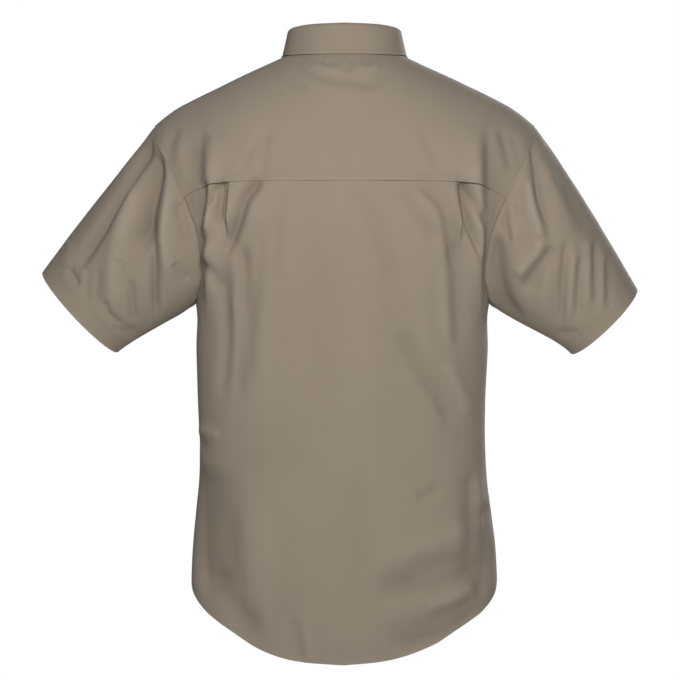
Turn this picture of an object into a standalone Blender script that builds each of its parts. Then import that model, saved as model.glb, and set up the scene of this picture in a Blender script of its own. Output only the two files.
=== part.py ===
"""Short-sleeve button shirt, filled out as it is worn, with nothing inside.

The wearer faces -Y, so the back lies at +Y and the wearer's left arm at +X.  The origin is at
the base of the neck, level with the top of the shoulders, where the shirt hangs on the wearer.
Every cloth piece is a thin wall: a grid of points on the outside, and the same grid moved in.
Lengths inside the script are millimetres, and the meshes are written in metres.
"""

from collections import namedtuple

import bmesh
import bpy
import numpy as np
from mathutils import Matrix, Vector

MM = 0.001

# Cloth and seams
WALL = 1.1
COLLAR_WALL = 1.3
SEAM_GAP = 0.34
LAP_GAP = 0.6

# Heights
CHEST = -162.0
UNDERARM = -318.0
SIDE_HEM = -670.0

# The yoke arches from the chest to the shoulder ridge.
ARCH = 190.0
RIDGE_HEIGHT = CHEST + ARCH
BACK_POWER = 2.5
FRONT_POWER = 2.3
Curl = namedtuple("Curl", "middle side reach")
BACK_CURL = Curl(2.2, 2.0, 200.0)
FRONT_CURL = Curl(1.25, 2.0, 125.0)

Section = namedtuple("Section", "height half_width back_depth front_depth sway")
SECTIONS = (
    Section(-800.0, 198.0, 117.0, 118.0, 0.0),
    Section(-670.0, 197.6, 116.0, 122.0, 0.0),
    Section(-630.0, 196.0, 114.0, 124.0, 0.3),
    Section(-585.0, 191.5, 112.0, 126.0, 1.3),
    Section(-546.0, 187.0, 110.0, 127.0, 2.0),
    Section(-507.0, 185.3, 110.0, 128.0, 2.6),
    Section(-440.0, 186.6, 113.0, 130.0, 3.9),
    Section(-377.0, 189.0, 118.0, 133.0, 3.2),
    Section(-318.0, 190.5, 123.0, 136.0, 2.6),
    Section(-240.0, 228.0, 128.0, 137.0, 0.5),
    Section(-200.0, 252.0, 129.0, 135.0, 0.0),
    Section(CHEST, 262.0, 128.0, 130.0, 0.0),
)

# The shoulder line, from the neck out to the sleeve
Ridge = namedtuple("Ridge", "across height")
RIDGE = (
    Ridge(0.0, 28.0),
    Ridge(40.0, 21.0),
    Ridge(72.0, 6.5),
    Ridge(91.0, -2.6),
    Ridge(125.0, -18.2),
    Ridge(158.0, -33.8),
    Ridge(190.0, -49.4),
    Ridge(219.0, -65.0),
    Ridge(237.0, -78.0),
    Ridge(251.0, -90.5),
    Ridge(262.0, -104.0),
)

# The armhole seam: how far round each panel it lies, 0 in the middle and 1 at the side seam
Armhole = namedtuple("Armhole", "height back front")
ARMHOLE = (
    Armhole(-318.0, 1.000, 1.000),
    Armhole(-313.0, 0.910, 0.917),
    Armhole(-305.0, 0.847, 0.858),
    Armhole(-295.0, 0.781, 0.789),
    Armhole(-280.0, 0.714, 0.710),
    Armhole(-265.0, 0.662, 0.659),
    Armhole(-242.0, 0.602, 0.596),
    Armhole(-216.0, 0.560, 0.543),
    Armhole(-200.0, 0.552, 0.530),
    Armhole(-185.0, 0.553, 0.532),
    Armhole(-152.0, 0.594, 0.574),
    Armhole(-125.0, 0.664, 0.649),
    Armhole(-103.0, 0.732, 0.729),
)
ARMHOLE_TOP = 246.0
YOKE_BACK_HEIGHT = -185.0
YOKE_FRONT_HEIGHT = -103.0
YOKE_SEAM_END = 207.0
YOKE_SEAM_SHAPE = 5.0
YOKE_LAP_FADE = 45.0

# The neckline is an oval in plan, deeper in front.
NECK_HALF_WIDTH = 72.0
NECK_BACK = 64.0
NECK_FRONT = 87.0
NECK_YOKE_ANGLE = 117.0
FRONT_OVERLAP = 17.5
FRONT_RECESS = 1.9
FRONT_RECESS_START = 22.0
FRONT_RECESS_FADE = 28.0
OVERLAP_ANGLE = float(np.degrees(np.arcsin(FRONT_OVERLAP / NECK_HALF_WIDTH)))

# The hem dips from the side seam to the middle of each panel.
Hem = namedtuple("Hem", "angle back front")
HEM = (
    Hem(0.0, 104.0, 88.0),
    Hem(15.0, 98.0, 84.0),
    Hem(28.0, 85.0, 74.0),
    Hem(43.0, 62.0, 56.0),
    Hem(60.0, 40.0, 37.0),
    Hem(77.0, 18.0, 17.0),
    Hem(90.0, 0.0, 0.0),
)
HEM_RIGHT_RISE = 4.0
HEM_RISE_ANGLE = 26.0
HEM_RISE_SPREAD = 16.0

# Two side pleats under the yoke, each a flat fold that opens downwards
PLEAT_EDGE = 147.0
PLEAT_DEPTH = 18.0
PLEAT_END = -305.0
OUTER_NOSE = 1.35
INNER_NOSE = 0.25
PLEAT_FLAT = 40.0
PLEAT_UNDER = 6.0
PLEAT_TURN_END = 0.75
PLEAT_OPEN_START = 0.35
PLEAT_RISE = 0.45
PLEAT_RISE_END = 0.4

# The back's rows start level with the yoke seam and straighten on the way down to the underarm.
ROW_SHAPE_TOP = YOKE_SEAM_SHAPE
ROW_SHAPE_LOW = 2.0
PLEAT_SHARE = 0.7
SIDE_FADE = 0.8

# Soft folds, as a groove or (where depth is below zero) a ridge between two places on a panel
Fold = namedtuple("Fold", "face across height to_across to_height bow width depth")
FOLDS = (
    Fold(1, 198.0, -170.0, 196.0, -306.0, 0.0, 10.0, 10.0),
    Fold(1, -198.0, -170.0, -196.0, -306.0, 0.0, 10.0, 10.0),
    Fold(1, 180.0, -186.0, 179.0, -335.0, 0.0, 11.0, -4.0),
    Fold(1, -180.0, -186.0, -179.0, -335.0, 0.0, 11.0, -4.0),
    Fold(1, 108.0, -166.0, 150.0, -250.0, -6.0, 10.0, 3.0),
    Fold(1, -96.0, -168.0, -134.0, -252.0, -6.0, 10.0, 3.0),
    Fold(1, -82.0, -178.0, -112.0, -236.0, 4.0, 9.0, 2.0),
    Fold(1, 128.0, -250.0, 112.0, -470.0, 6.0, 22.0, 3.5),
    Fold(1, -150.0, -280.0, -146.0, -400.0, 4.0, 18.0, 3.0),
    Fold(1, -98.0, -395.0, -165.0, -470.0, 0.0, 20.0, 3.0),
    Fold(1, -98.0, -650.0, -172.0, -560.0, 8.0, 20.0, 3.5),
    Fold(1, 170.0, -640.0, 176.0, -560.0, 0.0, 15.0, 3.0),
    Fold(-1, 150.0, -165.0, 178.0, -300.0, 0.0, 14.0, 4.0),
    Fold(-1, -150.0, -165.0, -178.0, -300.0, 0.0, 14.0, 4.0),
    Fold(-1, 90.0, -330.0, 150.0, -420.0, 6.0, 22.0, 3.0),
    Fold(-1, -96.0, -360.0, -158.0, -440.0, 6.0, 22.0, 3.0),
)

# Sleeves: the cuff's middle, its two half sizes and how the cloth leaves the armhole
Sleeve = namedtuple("Sleeve", "inner_x inner_z outer_x outer_z half_depth")
SLEEVES = {
    1: Sleeve(294.5, -380.0, 392.0, -275.0, 59.0),
    -1: Sleeve(294.5, -382.0, 379.5, -297.0, 66.0),
}
SLEEVE_TOP_SLOPE = (0.62, -0.785)
SLEEVE_UNDER_SLOPE = (0.80, -0.60)
SLEEVE_SWELL = 0.16
SLEEVE_ARRIVE = 0.85
SLEEVE_TOP_STRAIGHT = 1.2  # how far the sleeve's upper edge runs straight to the cuff

# Numbers of quads
CENTRE_COLUMNS = 5
SIDE_COLUMNS = 5
ARMHOLE_ROWS = 12
BODY_ROWS = 14
YOKE_ARM_BACK = 5
YOKE_ARM_FRONT = 3
EDGE_COLUMNS = 4
NECK_FRONT_COLUMNS = 5
SLEEVE_ROWS = 11
SEAM_COLUMNS = CENTRE_COLUMNS + 1 + SIDE_COLUMNS
YOKE_RINGS = (0.0, 0.15, 0.31, 0.47, 0.63, 0.80, 0.955, 1.0)

# Collar
STAND_BACK = 30.0
STAND_FRONT = 27.0
STAND_INSET = 1.3
STAND_LEAN = 1.4
STAND_RECESS = 1.8
STAND_FOOT = 1.0
RECESS_ANGLE = 140.0
RECESS_FADE = 22.0
LEAF_ROLL = ((-1.6, 1.3), (-1.1, 3.0), (1.2, 4.4), (4.4, 1.8))
Leaf = namedtuple("Leaf", "angle x y z")
LEAF_EDGE = (
    Leaf(0.0, 0.0, 76.0, 1.4),
    Leaf(35.0, 46.0, 63.0, 2.0),
    Leaf(65.0, 73.0, 34.0, 2.6),
    Leaf(88.0, 81.0, 4.0, 2.0),
    Leaf(115.0, 83.5, -40.0, -14.0),
    Leaf(145.0, 73.0, -86.0, -62.0),
    Leaf(174.0, 50.0, -114.0, -106.0),
)
LEAF_CLEARANCE = 2.4
LEAF_FRONT_CLEARANCE = 2.6
LEAF_FRONT_ANGLE = 90.0
LEAF_FRONT_FADE = 50.0
LEAF_END_LIFT = 1.6
LEAF_END_ANGLE = 150.0
LEAF_END_FADE = 20.0
COLLAR_COLUMNS = 13

# Buttons
BUTTON_RADIUS = 5.6
BUTTON_THICKNESS = 2.4
BUTTON_HEIGHTS = (-120.0, -212.0, -304.0, -396.0, -488.0, -580.0)
BUTTON_RIM = 1.5
BUTTON_DISH = 0.7
BUTTON_GAP = 0.45
STAND_BUTTON_GAP = 0.5
PLACKET_GAP = 0.3

CLOTH_COLOUR = (0.318, 0.262, 0.198, 1.0)
CLOTH_ROUGHNESS = 0.85
BUTTON_COLOUR = (0.22, 0.17, 0.12, 1.0)
BUTTON_ROUGHNESS = 0.35
SHARP_ANGLE = 0.7


def ease(value):
    """Step that starts and ends gently, from 0 to 1."""
    value = np.clip(value, 0.0, 1.0)
    return value * value * (3.0 - 2.0 * value)


def through(places, values, at, flat_end=False):
    """Smooth curve through the points of a short table."""
    places = np.asarray(places, float)
    values = np.asarray(values, float)
    slopes = np.gradient(values, places)
    if flat_end:
        slopes[-1] = 0.0
    at = np.clip(at, places[0], places[-1])
    index = np.clip(np.searchsorted(places, at) - 1, 0, len(places) - 2)
    step = places[index + 1] - places[index]
    share = (at - places[index]) / step
    rest = 1.0 - share
    return (
        values[index] * rest * rest * (1.0 + 2.0 * share)
        + values[index + 1] * share * share * (3.0 - 2.0 * share)
        + slopes[index] * step * share * rest * rest
        - slopes[index + 1] * step * share * share * rest
    )


def column(rows, place, value, at, flat_end=False):
    """Smooth curve through one named column of a table."""
    return through([getattr(r, place) for r in rows], [getattr(r, value) for r in rows], at, flat_end)


def body(value, height):
    return column(SECTIONS, "height", value, height, flat_end=True)


def ridge(across):
    return column(RIDGE, "across", "height", across)


def curl(face, across):
    """How squarely the cloth turns from the chest onto the shoulder."""
    turn_back = BACK_CURL.side - BACK_CURL.middle
    turn_front = FRONT_CURL.side - FRONT_CURL.middle
    back = BACK_CURL.middle + turn_back * np.clip(across / BACK_CURL.reach, 0.0, 1.0)
    front = FRONT_CURL.middle + turn_front * ease(across / FRONT_CURL.reach)
    return np.where(face > 0, back, front)


def power(face):
    return np.where(face > 0, BACK_POWER, FRONT_POWER)


def hull(face, across, height):
    """Outside of the filled-out body, face 1 at the back and -1 in front."""
    low = np.minimum(height, CHEST)
    depth = np.where(face > 0, body("back_depth", low), body("front_depth", low))
    share = np.clip(np.abs(across) / body("half_width", low), 0.0, 1.0)
    out = depth * (1.0 - share ** power(face)) ** (1.0 / power(face))
    rise = np.clip((height - CHEST) / ARCH, 0.0, 1.0) * np.pi / 2.0
    bend = 2.0 / curl(face, np.abs(across))
    lifted = CHEST + (ridge(np.abs(across)) - CHEST) * np.sin(rise) ** bend
    up = np.where(height > CHEST, lifted, height)
    out = out * np.clip(np.cos(rise), 0.0, 1.0) ** bend
    return np.stack(np.broadcast_arrays(across + body("sway", low), face * out, up), -1)


def across_of(face, turn, height):
    """Distance from the middle at a share of the quarter turn."""
    half = body("half_width", np.minimum(height, CHEST))
    return np.sign(turn) * half * np.sin(np.abs(turn) * np.pi / 2.0) ** (2.0 / power(face))


def turn_of(face, across, height):
    share = np.abs(across) / body("half_width", np.minimum(height, CHEST))
    angle = np.arcsin(np.clip(share, 0.0, 1.0) ** (power(face) / 2.0))
    return np.sign(across) * angle * 2.0 / np.pi


def cloth_height(face, across, up):
    """Height along the cloth of a place that lies up there in space."""
    share = np.clip((up - CHEST) / (ridge(np.abs(across)) - CHEST), 0.0, 1.0)
    rise = np.arcsin(share ** (curl(face, np.abs(across)) / 2.0)) * 2.0 / np.pi
    return np.where(up > CHEST, CHEST + ARCH * rise, up)


def unit(vectors):
    length = np.linalg.norm(vectors, axis=-1, keepdims=True)
    return vectors / np.maximum(length, 1e-9)


def hull_normal(face, turn, height):
    """Direction that points out of the body, from small steps along the cloth."""
    small = 1e-3
    side = [np.clip(turn + d, -1.0, 1.0) for d in (-small, small)]
    rise = [np.minimum(height + d, RIDGE_HEIGHT) for d in (-0.4, 0.4)]
    along = hull(face, across_of(face, side[1], height), height)
    along = along - hull(face, across_of(face, side[0], height), height)
    across = across_of(face, turn, height)
    upward = hull(face, across, rise[1]) - hull(face, across, rise[0])
    return unit(np.cross(upward, along)) * np.asarray(face, float)[..., None]


def fold_lift(face, across, up):
    """Height of the soft folds at a place on a panel."""
    total = np.zeros(np.broadcast(across, up).shape)
    for fold in FOLDS:
        start = np.array([fold.across, fold.height])
        run = np.array([fold.to_across, fold.to_height]) - start
        length = np.linalg.norm(run)
        run = run / length
        along = ((across - start[0]) * run[0] + (up - start[1]) * run[1]) / length
        bow = fold.bow * 4.0 * along * (1.0 - along)
        aside = (across - start[0]) * run[1] - (up - start[1]) * run[0] - bow
        taper = ease(along / 0.25) * ease((1.0 - along) / 0.25)
        reach = aside / fold.width
        shape = np.exp(-reach ** 2) - 0.35 * np.exp(-(reach / 2.2) ** 2)
        total = total - fold.depth * shape * taper * (face == fold.face)
    return total


def place(face, turn, height, lift):
    """Points on a panel, raised by a lift and by the folds that cross it."""
    face = np.full(np.shape(turn), face)
    points = hull(face, across_of(face, turn, height), height)
    raised = lift + fold_lift(face, points[..., 0], points[..., 2])
    return points + hull_normal(face, turn, height) * raised[..., None]


def armhole_line(face, low, high, count):
    """Turn and cloth height of the armhole seam between two heights, in equal steps."""
    name = "back" if face > 0 else "front"
    top_height = float(ridge(ARMHOLE_TOP))
    rows = [(r.height, getattr(r, name)) for r in ARMHOLE]
    top_turn = float(turn_of(face, ARMHOLE_TOP, 0.0))
    rows.append((top_height, top_turn))
    fine = np.linspace(0.0, 1.0, 200)
    up = low + (high - low) * fine
    turn = through([r[0] for r in rows], [r[1] for r in rows], up)
    height = cloth_height(face, across_of(face, turn, up), up)
    points = hull(np.full(up.shape, face), across_of(face, turn, height), height)
    lengths = np.concatenate([[0.0], np.cumsum(np.linalg.norm(np.diff(points, axis=0), axis=1))])
    wanted = np.linspace(0.0, lengths[-1], count + 1)
    return np.interp(wanted, lengths, turn), np.interp(wanted, lengths, height)


def hem_height(face, turn):
    """Height of the hem round a panel."""
    angle = np.abs(turn) * 90.0
    drop = column(HEM, "angle", "back" if face > 0 else "front", angle, flat_end=True)
    if face > 0:
        rise = np.exp(-((angle - HEM_RISE_ANGLE) / HEM_RISE_SPREAD) ** 2)
        drop = drop - HEM_RIGHT_RISE * (turn < 0) * rise
    return SIDE_HEM - drop


def seam_height(share):
    """The yoke seam is level, and drops a little towards the armholes."""
    end = float(cloth_height(1, YOKE_SEAM_END, YOKE_BACK_HEIGHT))
    return CHEST + (end - CHEST) * np.abs(share) ** YOKE_SEAM_SHAPE


def pleat_path(release):
    """Cross-section of a pleat: steps outwards and inwards from its edge, as pairs."""
    beta = np.pi * (1.0 - ease(release / PLEAT_TURN_END))
    depth = PLEAT_DEPTH * (1.0 - release) ** 1.5
    points = []
    for share in np.linspace(0.0, 1.0, 5):
        angle = beta * share
        points.append((OUTER_NOSE * (np.sin(angle) - 1.0), -OUTER_NOSE * (1.0 - np.cos(angle))))
    x, y = points[-1]
    for share in (0.5, 1.0):
        points.append((x + depth * share * np.cos(beta), y - depth * share * np.sin(beta)))
    x, y = points[-1]
    for share in (0.5, 1.0):
        back = beta * share
        run = INNER_NOSE * (np.sin(beta) - np.sin(beta - back))
        fall = INNER_NOSE * (np.cos(beta - back) - np.cos(beta))
        points.append((x + run, y - fall))
    return np.array(points)


def pleat_columns(release):
    """Places across the panel, and lifts, of every column from the middle to the side."""
    path = pleat_path(release)
    open_share = ease((release - PLEAT_OPEN_START) / (1.0 - PLEAT_OPEN_START))
    under = [(path[-1, 0] * 0.45, path[-1, 1]), (PLEAT_UNDER, path[-1, 1])]
    folded = np.concatenate([path, under])
    flat = np.linspace(-0.5, 0.5, len(folded)) * PLEAT_FLAT
    across = PLEAT_EDGE + folded[:, 0] * (1.0 - open_share) + flat * open_share
    rise = -PLEAT_RISE * path[-1, 1] * ease(release / PLEAT_RISE_END)
    lift = (folded[:, 1] + rise) * (1.0 - open_share)
    middle = np.linspace(0.0, across[0], CENTRE_COLUMNS + 1)[:-1]
    return np.concatenate([middle, across]), np.concatenate([lift[0] * ease(middle / across[0]), lift])


def back_rows():
    """Edge turn, edge height, middle height and shape of each row of the back, from the top."""
    turns, heights = armhole_line(1, UNDERARM, YOKE_BACK_HEIGHT, ARMHOLE_ROWS)
    turns, heights = turns[::-1], heights[::-1]
    rows = []
    for index, (turn, height) in enumerate(zip(turns, heights)):
        share = index / ARMHOLE_ROWS
        middle = CHEST + (UNDERARM - CHEST) * share
        shape = ROW_SHAPE_TOP + (ROW_SHAPE_LOW - ROW_SHAPE_TOP) * ease(share * 2.0)
        rows.append((turn, height, middle, shape))
    return rows


def back_half(side):
    """Grid of the back from the middle to one side seam, with its pleat."""
    top, *rows = back_rows()
    grid = under_yoke(side, top[0])
    for turn, height, middle, shape in rows:
        def line(share):
            return middle + (height - middle) * share ** shape
        grid.append(back_row(side, turn, line))
    for down in np.linspace(0.0, 1.0, BODY_ROWS + 1)[1:]:
        def line(share):
            return UNDERARM + (hem_height(1, side * share) - UNDERARM) * down
        grid.append(back_row(side, 1.0, line))
    return np.array(grid)


def back_columns(release, height, edge_turn):
    """Turns and lifts of one row's columns, from the middle to the edge."""
    xs, lifts = pleat_columns(release)
    turns = turn_of(1, xs, np.full(xs.shape, height))
    steps = np.linspace(0.0, 1.0, SIDE_COLUMNS + 1)[1:]
    outer = turns[-1] + (edge_turn - turns[-1]) * steps
    fading = lifts[-1] * (1.0 - ease(steps / SIDE_FADE))
    return np.concatenate([turns, outer]), np.concatenate([lifts, fading])


def back_row(side, edge_turn, line):
    """One row of the back panel; line gives its height at a share of the way round."""
    near = float(line(PLEAT_SHARE))
    release = np.clip((CHEST - near) / (CHEST - PLEAT_END), 0.0, 1.0)
    turns, lifts = back_columns(release, near, edge_turn)
    heights = line(turns / edge_turn)
    recess = (WALL + LAP_GAP) * (1.0 - ease((CHEST - heights) / YOKE_LAP_FADE))
    return place(1, side * turns, heights, lifts - recess)


def under_yoke(side, edge_turn):
    """The back's two top rows, which lie under the yoke: the yoke's own points, moved in."""
    half = yoke_half(side)
    normals = outward(half, False)
    turns, lifts = back_columns(0.0, CHEST, edge_turn)
    spokes = np.arange(half.shape[1])
    wanted = across_of(1, turns, np.full(turns.shape, CHEST))
    seam = np.abs(half[-1, :SEAM_COLUMNS + 1, 0])
    along = np.interp(wanted, seam, spokes[:SEAM_COLUMNS + 1])
    rows = []
    for ring in (-2, -1):
        base = np.stack([np.interp(along, spokes, half[ring, :, axis]) for axis in range(3)], -1)
        aim = unit(np.stack([np.interp(along, spokes, normals[ring, :, axis]) for axis in range(3)], -1))
        rows.append(base + aim * (lifts - WALL - LAP_GAP)[:, None])
    return rows


def mirrored(half_left, half_right):
    """A whole panel from its two halves, which share the middle column."""
    return np.concatenate([half_right[:, :0:-1], half_left], axis=1)


def back_panel():
    return mirrored(back_half(1), back_half(-1))


def neck_plan(angle):
    """The neckline in plan, with the angle in degrees from the middle of the back."""
    radians = np.radians(angle)
    deep = np.where(np.cos(radians) > 0, NECK_BACK, NECK_FRONT)
    return NECK_HALF_WIDTH * np.sin(radians), deep * np.cos(radians)


def over_height(across, y):
    """Height along the cloth, counted on over the ridge and down the front."""
    face = np.where(y >= 0, 1, -1)
    depth = np.abs(hull(face, across, np.full(np.shape(across), CHEST))[..., 1])
    rise = np.arccos(np.clip(np.abs(y) / depth, 0.0, 1.0) ** (curl(face, np.abs(across)) / 2.0))
    height = CHEST + ARCH * rise * 2.0 / np.pi
    return np.where(y >= 0, height, 2.0 * RIDGE_HEIGHT - height)


def over_point(across, over, lift=0.0):
    """Point on the yoke; heights past the ridge run down the front."""
    face = np.where(over <= RIDGE_HEIGHT, 1, -1)
    height = np.where(over <= RIDGE_HEIGHT, over, 2.0 * RIDGE_HEIGHT - over)
    points = hull(face, across, height)
    turn = turn_of(face, across, height)
    raised = lift + fold_lift(face, points[..., 0], points[..., 2])
    return points + hull_normal(face, turn, height) * np.asarray(raised)[..., None]


def yoke_outer_line():
    """Places across and heights of the yoke's outer edge on one side: seam, then armhole."""
    xs, _ = pleat_columns(0.0)
    seam_end_turn = float(armhole_line(1, UNDERARM, YOKE_BACK_HEIGHT, ARMHOLE_ROWS)[0][-1])
    middle = xs[:CENTRE_COLUMNS + 1]
    first_turn = float(turn_of(1, PLEAT_EDGE + PLEAT_UNDER, CHEST))
    turns = np.linspace(first_turn, seam_end_turn, SIDE_COLUMNS + 1)
    seam_turn = np.concatenate([turn_of(1, middle, np.full(middle.shape, CHEST)), turns])
    seam_t = seam_height(seam_turn / seam_end_turn)
    seam_x = across_of(1, seam_turn, seam_t)
    turn, height = armhole_line(1, YOKE_BACK_HEIGHT, float(ridge(ARMHOLE_TOP)), YOKE_ARM_BACK)
    arm_x = across_of(1, turn, height)
    low, low_height = armhole_line(-1, YOKE_FRONT_HEIGHT, float(ridge(ARMHOLE_TOP)), YOKE_ARM_FRONT)
    front_x = across_of(-1, low[::-1], low_height[::-1])
    front_t = 2.0 * RIDGE_HEIGHT - low_height[::-1]
    across = np.concatenate([seam_x, arm_x[1:], front_x[1:]])
    over = np.concatenate([seam_t, height[1:], front_t[1:]])
    return across, over


def yoke_angles(count):
    """Angles round the neck that the yoke's columns start from."""
    top = count - YOKE_ARM_FRONT
    back = np.linspace(0.0, 90.0, top + 1)
    front = np.linspace(90.0, NECK_YOKE_ANGLE, YOKE_ARM_FRONT + 1)
    return np.concatenate([back, front[1:]])


def yoke_half(side):
    outer_x, outer_t = yoke_outer_line()
    angles = yoke_angles(len(outer_x) - 1)
    inner_x, inner_y = neck_plan(angles)
    inner_t = over_height(inner_x, inner_y)
    rings = np.array(YOKE_RINGS)[:, None]
    across = inner_x + (outer_x - inner_x) * rings
    over = inner_t + (outer_t - inner_t) * rings
    return over_point(side * across, over)


def yoke_panel():
    return mirrored(yoke_half(1), yoke_half(-1))


def front_half(side):
    """Grid of one front, from its edge past the middle to the side seam."""
    start = 180.0 + OVERLAP_ANGLE * np.linspace(1.0, -1.0, EDGE_COLUMNS)
    rest = np.linspace(start[-1], NECK_YOKE_ANGLE, NECK_FRONT_COLUMNS + 1)[1:]
    neck_x, neck_y = neck_plan(np.concatenate([start, rest]))
    neck_t = 2.0 * RIDGE_HEIGHT - over_height(neck_x, neck_y)
    outer_x, outer_t = yoke_outer_line()
    rings = np.array(YOKE_RINGS)[1:]
    seam_x = neck_x[-1] + (outer_x[-1] - neck_x[-1]) * rings
    seam_t = neck_t[-1] + (2.0 * RIDGE_HEIGHT - outer_t[-1] - neck_t[-1]) * rings
    top_x = np.concatenate([neck_x, seam_x])
    top_t = np.concatenate([neck_t, seam_t])
    turns, heights = armhole_line(-1, UNDERARM, YOKE_FRONT_HEIGHT, ARMHOLE_ROWS)
    turns, heights = turns[::-1], heights[::-1]
    first_turn = turn_of(-1, top_x, top_t)
    share = (top_x - top_x[0]) / (top_x[-1] - top_x[0])
    edge_x = neck_x[:EDGE_COLUMNS]
    low_turn = low_front_turns(edge_x, len(top_x))
    grid = []
    for index in range(ARMHOLE_ROWS + 1):
        down = index / ARMHOLE_ROWS
        turn = first_turn * (1.0 - down) + low_turn * down
        turn = turn + (turns[index] - turn[-1]) * edge_share(share)
        height = top_t * (1.0 - down) + UNDERARM * down
        height = height + (heights[index] - height[-1]) * edge_share(share)
        grid.append(front_row(side, turn, height, edge_x))
    for index in range(1, BODY_ROWS + 1):
        height = UNDERARM + (hem_height(-1, low_turn) - UNDERARM) * index / BODY_ROWS
        grid.append(front_row(side, low_turn, height, edge_x))
    return np.array(grid)


def edge_share(share):
    return np.clip(share, 0.0, 1.0) ** 2


def low_front_turns(edge_x, count):
    """Turns of the columns below the arm, spread evenly from the overlap to the side seam."""
    turns = turn_of(-1, edge_x, np.full(len(edge_x), UNDERARM))
    return np.concatenate([turns, np.linspace(turns[-1], 1.0, count - len(edge_x) + 1)[1:]])


def front_row(side, turn, height, edge_x):
    """One row of a front; the right one dips under the left where they overlap."""
    turn = turn.copy()
    turn[:len(edge_x)] = turn_of(-1, edge_x, height[:len(edge_x)])
    past = (across_of(-1, turn, height) - FRONT_RECESS_START) / FRONT_RECESS_FADE
    under = (side < 0) * FRONT_RECESS * (1.0 - ease(past))
    return place(-1, side * turn, height, -under)


def armhole_loop(side):
    """Closed line of the armhole on the made panels, from the underarm up the back."""
    back_edge = PANELS["back"][1:ARMHOLE_ROWS + 2, -1 if side > 0 else 0][::-1]
    front = PANELS["front_left" if side > 0 else "front_right"]
    front_edge = front[:ARMHOLE_ROWS + 1, -1]
    outer = PANELS["yoke"][-1]
    count = YOKE_ARM_BACK + YOKE_ARM_FRONT
    yoke_edge = outer[-count - 1:] if side > 0 else outer[count::-1]
    return np.concatenate([back_edge[:-1], yoke_edge[:-1], front_edge[:-1]])


def sleeve_tube(side):
    """Grid of a sleeve, rings from the armhole to the cuff."""
    sleeve = SLEEVES[side]
    loop = armhole_loop(side)
    lengths = np.linalg.norm(np.diff(np.concatenate([loop, loop[:1]]), axis=0), axis=1)
    lengths = np.concatenate([[0.0], np.cumsum(lengths)])[:-1]
    top_index = ARMHOLE_ROWS + YOKE_ARM_BACK
    total = np.linalg.norm(loop[-1] - loop[0]) + lengths[-1]
    up = np.clip(lengths / lengths[top_index], 0.0, 1.0)
    down = np.clip((lengths - lengths[top_index]) / (total - lengths[top_index]), 0.0, 1.0)
    angle = np.pi * (1.0 - up - down)
    middle = np.array([side * (sleeve.inner_x + sleeve.outer_x), 0.0, sleeve.inner_z + sleeve.outer_z]) / 2
    reach = np.array([side * (sleeve.outer_x - sleeve.inner_x), 0.0, sleeve.outer_z - sleeve.inner_z]) / 2
    deep = np.array([0.0, sleeve.half_depth, 0.0])
    cuff = middle + np.cos(angle)[:, None] * reach + np.sin(angle)[:, None] * deep
    axis = unit(np.array([side * abs(reach[2]), 0.0, -abs(reach[0])]))
    height = loop[:, 2]
    topness = (height - height.min()) / (height.max() - height.min())
    slope_x = SLEEVE_UNDER_SLOPE[0] + (SLEEVE_TOP_SLOPE[0] - SLEEVE_UNDER_SLOPE[0]) * topness
    slope_z = SLEEVE_UNDER_SLOPE[1] + (SLEEVE_TOP_SLOPE[1] - SLEEVE_UNDER_SLOPE[1]) * topness
    swell = SLEEVE_SWELL * np.sin(angle)
    leave = unit(np.stack([side * slope_x, swell, slope_z], -1))
    chord = np.linalg.norm(cuff - loop, axis=1)[:, None]
    arrive = unit(axis + SLEEVE_TOP_STRAIGHT * topness[:, None] * (unit(cuff - loop) - axis))
    grid = []
    for along in np.linspace(0.0, 1.0, SLEEVE_ROWS + 1):
        rest = 1.0 - along
        grid.append(
            loop * rest * rest * (1.0 + 2.0 * along)
            + cuff * along * along * (3.0 - 2.0 * along)
            + leave * chord * along * rest * rest
            - arrive * chord * SLEEVE_ARRIVE * along * along * rest
        )
    return np.array(grid)


def outward(points, wrapped):
    """Normals of a grid of points, which face away from the middle of the shirt or sleeve."""
    if wrapped:
        around = np.roll(points, -1, axis=1) - np.roll(points, 1, axis=1)
        middle = points.mean(axis=1, keepdims=True)
    else:
        around = np.gradient(points, axis=1)
        middle = np.array([0.0, 0.0, 1.0]) * points - [0.0, 0.0, 60.0]
    normals = unit(np.cross(np.gradient(points, axis=0), around))
    return normals if ((points - middle) * normals).sum() > 0.0 else -normals


def join_normals(panels, normals):
    """Gives panels that meet smoothly at a seam the same normal there."""
    groups = {}
    for name, points in panels.items():
        rows, columns = points.shape[:2]
        for row in range(rows):
            for col in range(columns):
                inside_columns = name.startswith("sleeve") or 0 < col < columns - 1
                if 0 < row < rows - 1 and inside_columns:
                    continue
                key = tuple(np.round(points[row, col], 2))
                groups.setdefault(key, []).append((name, row, col))
    for members in groups.values():
        directions = np.array([normals[name][row, col] for name, row, col in members])
        if len(members) < 2 or (directions @ directions.T).min() < 0.5:
            continue
        shared = unit(directions.sum(axis=0))
        for name, row, col in members:
            normals[name][row, col] = shared


def draw_back(outer, inner, edges):
    """Moves the named edges of a wall back by half of the seam gap."""
    for edge in edges:
        here, next_in = {
            "first_row": (np.s_[0, :], np.s_[1, :]),
            "last_row": (np.s_[-1, :], np.s_[-2, :]),
            "first_column": (np.s_[:, 0], np.s_[:, 1]),
            "last_column": (np.s_[:, -1], np.s_[:, -2]),
        }[edge]
        step = unit(outer[next_in] - outer[here]) * SEAM_GAP / 2.0
        outer[here] = outer[here] + step
        inner[here] = inner[here] + step


def material(name, colour, roughness):
    made = bpy.data.materials.new(name)
    made.use_nodes = True
    shader = made.node_tree.nodes["Principled BSDF"]
    shader.inputs["Base Color"].default_value = colour
    shader.inputs["Roughness"].default_value = roughness
    shader.inputs["Metallic"].default_value = 0.0
    return made


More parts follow.
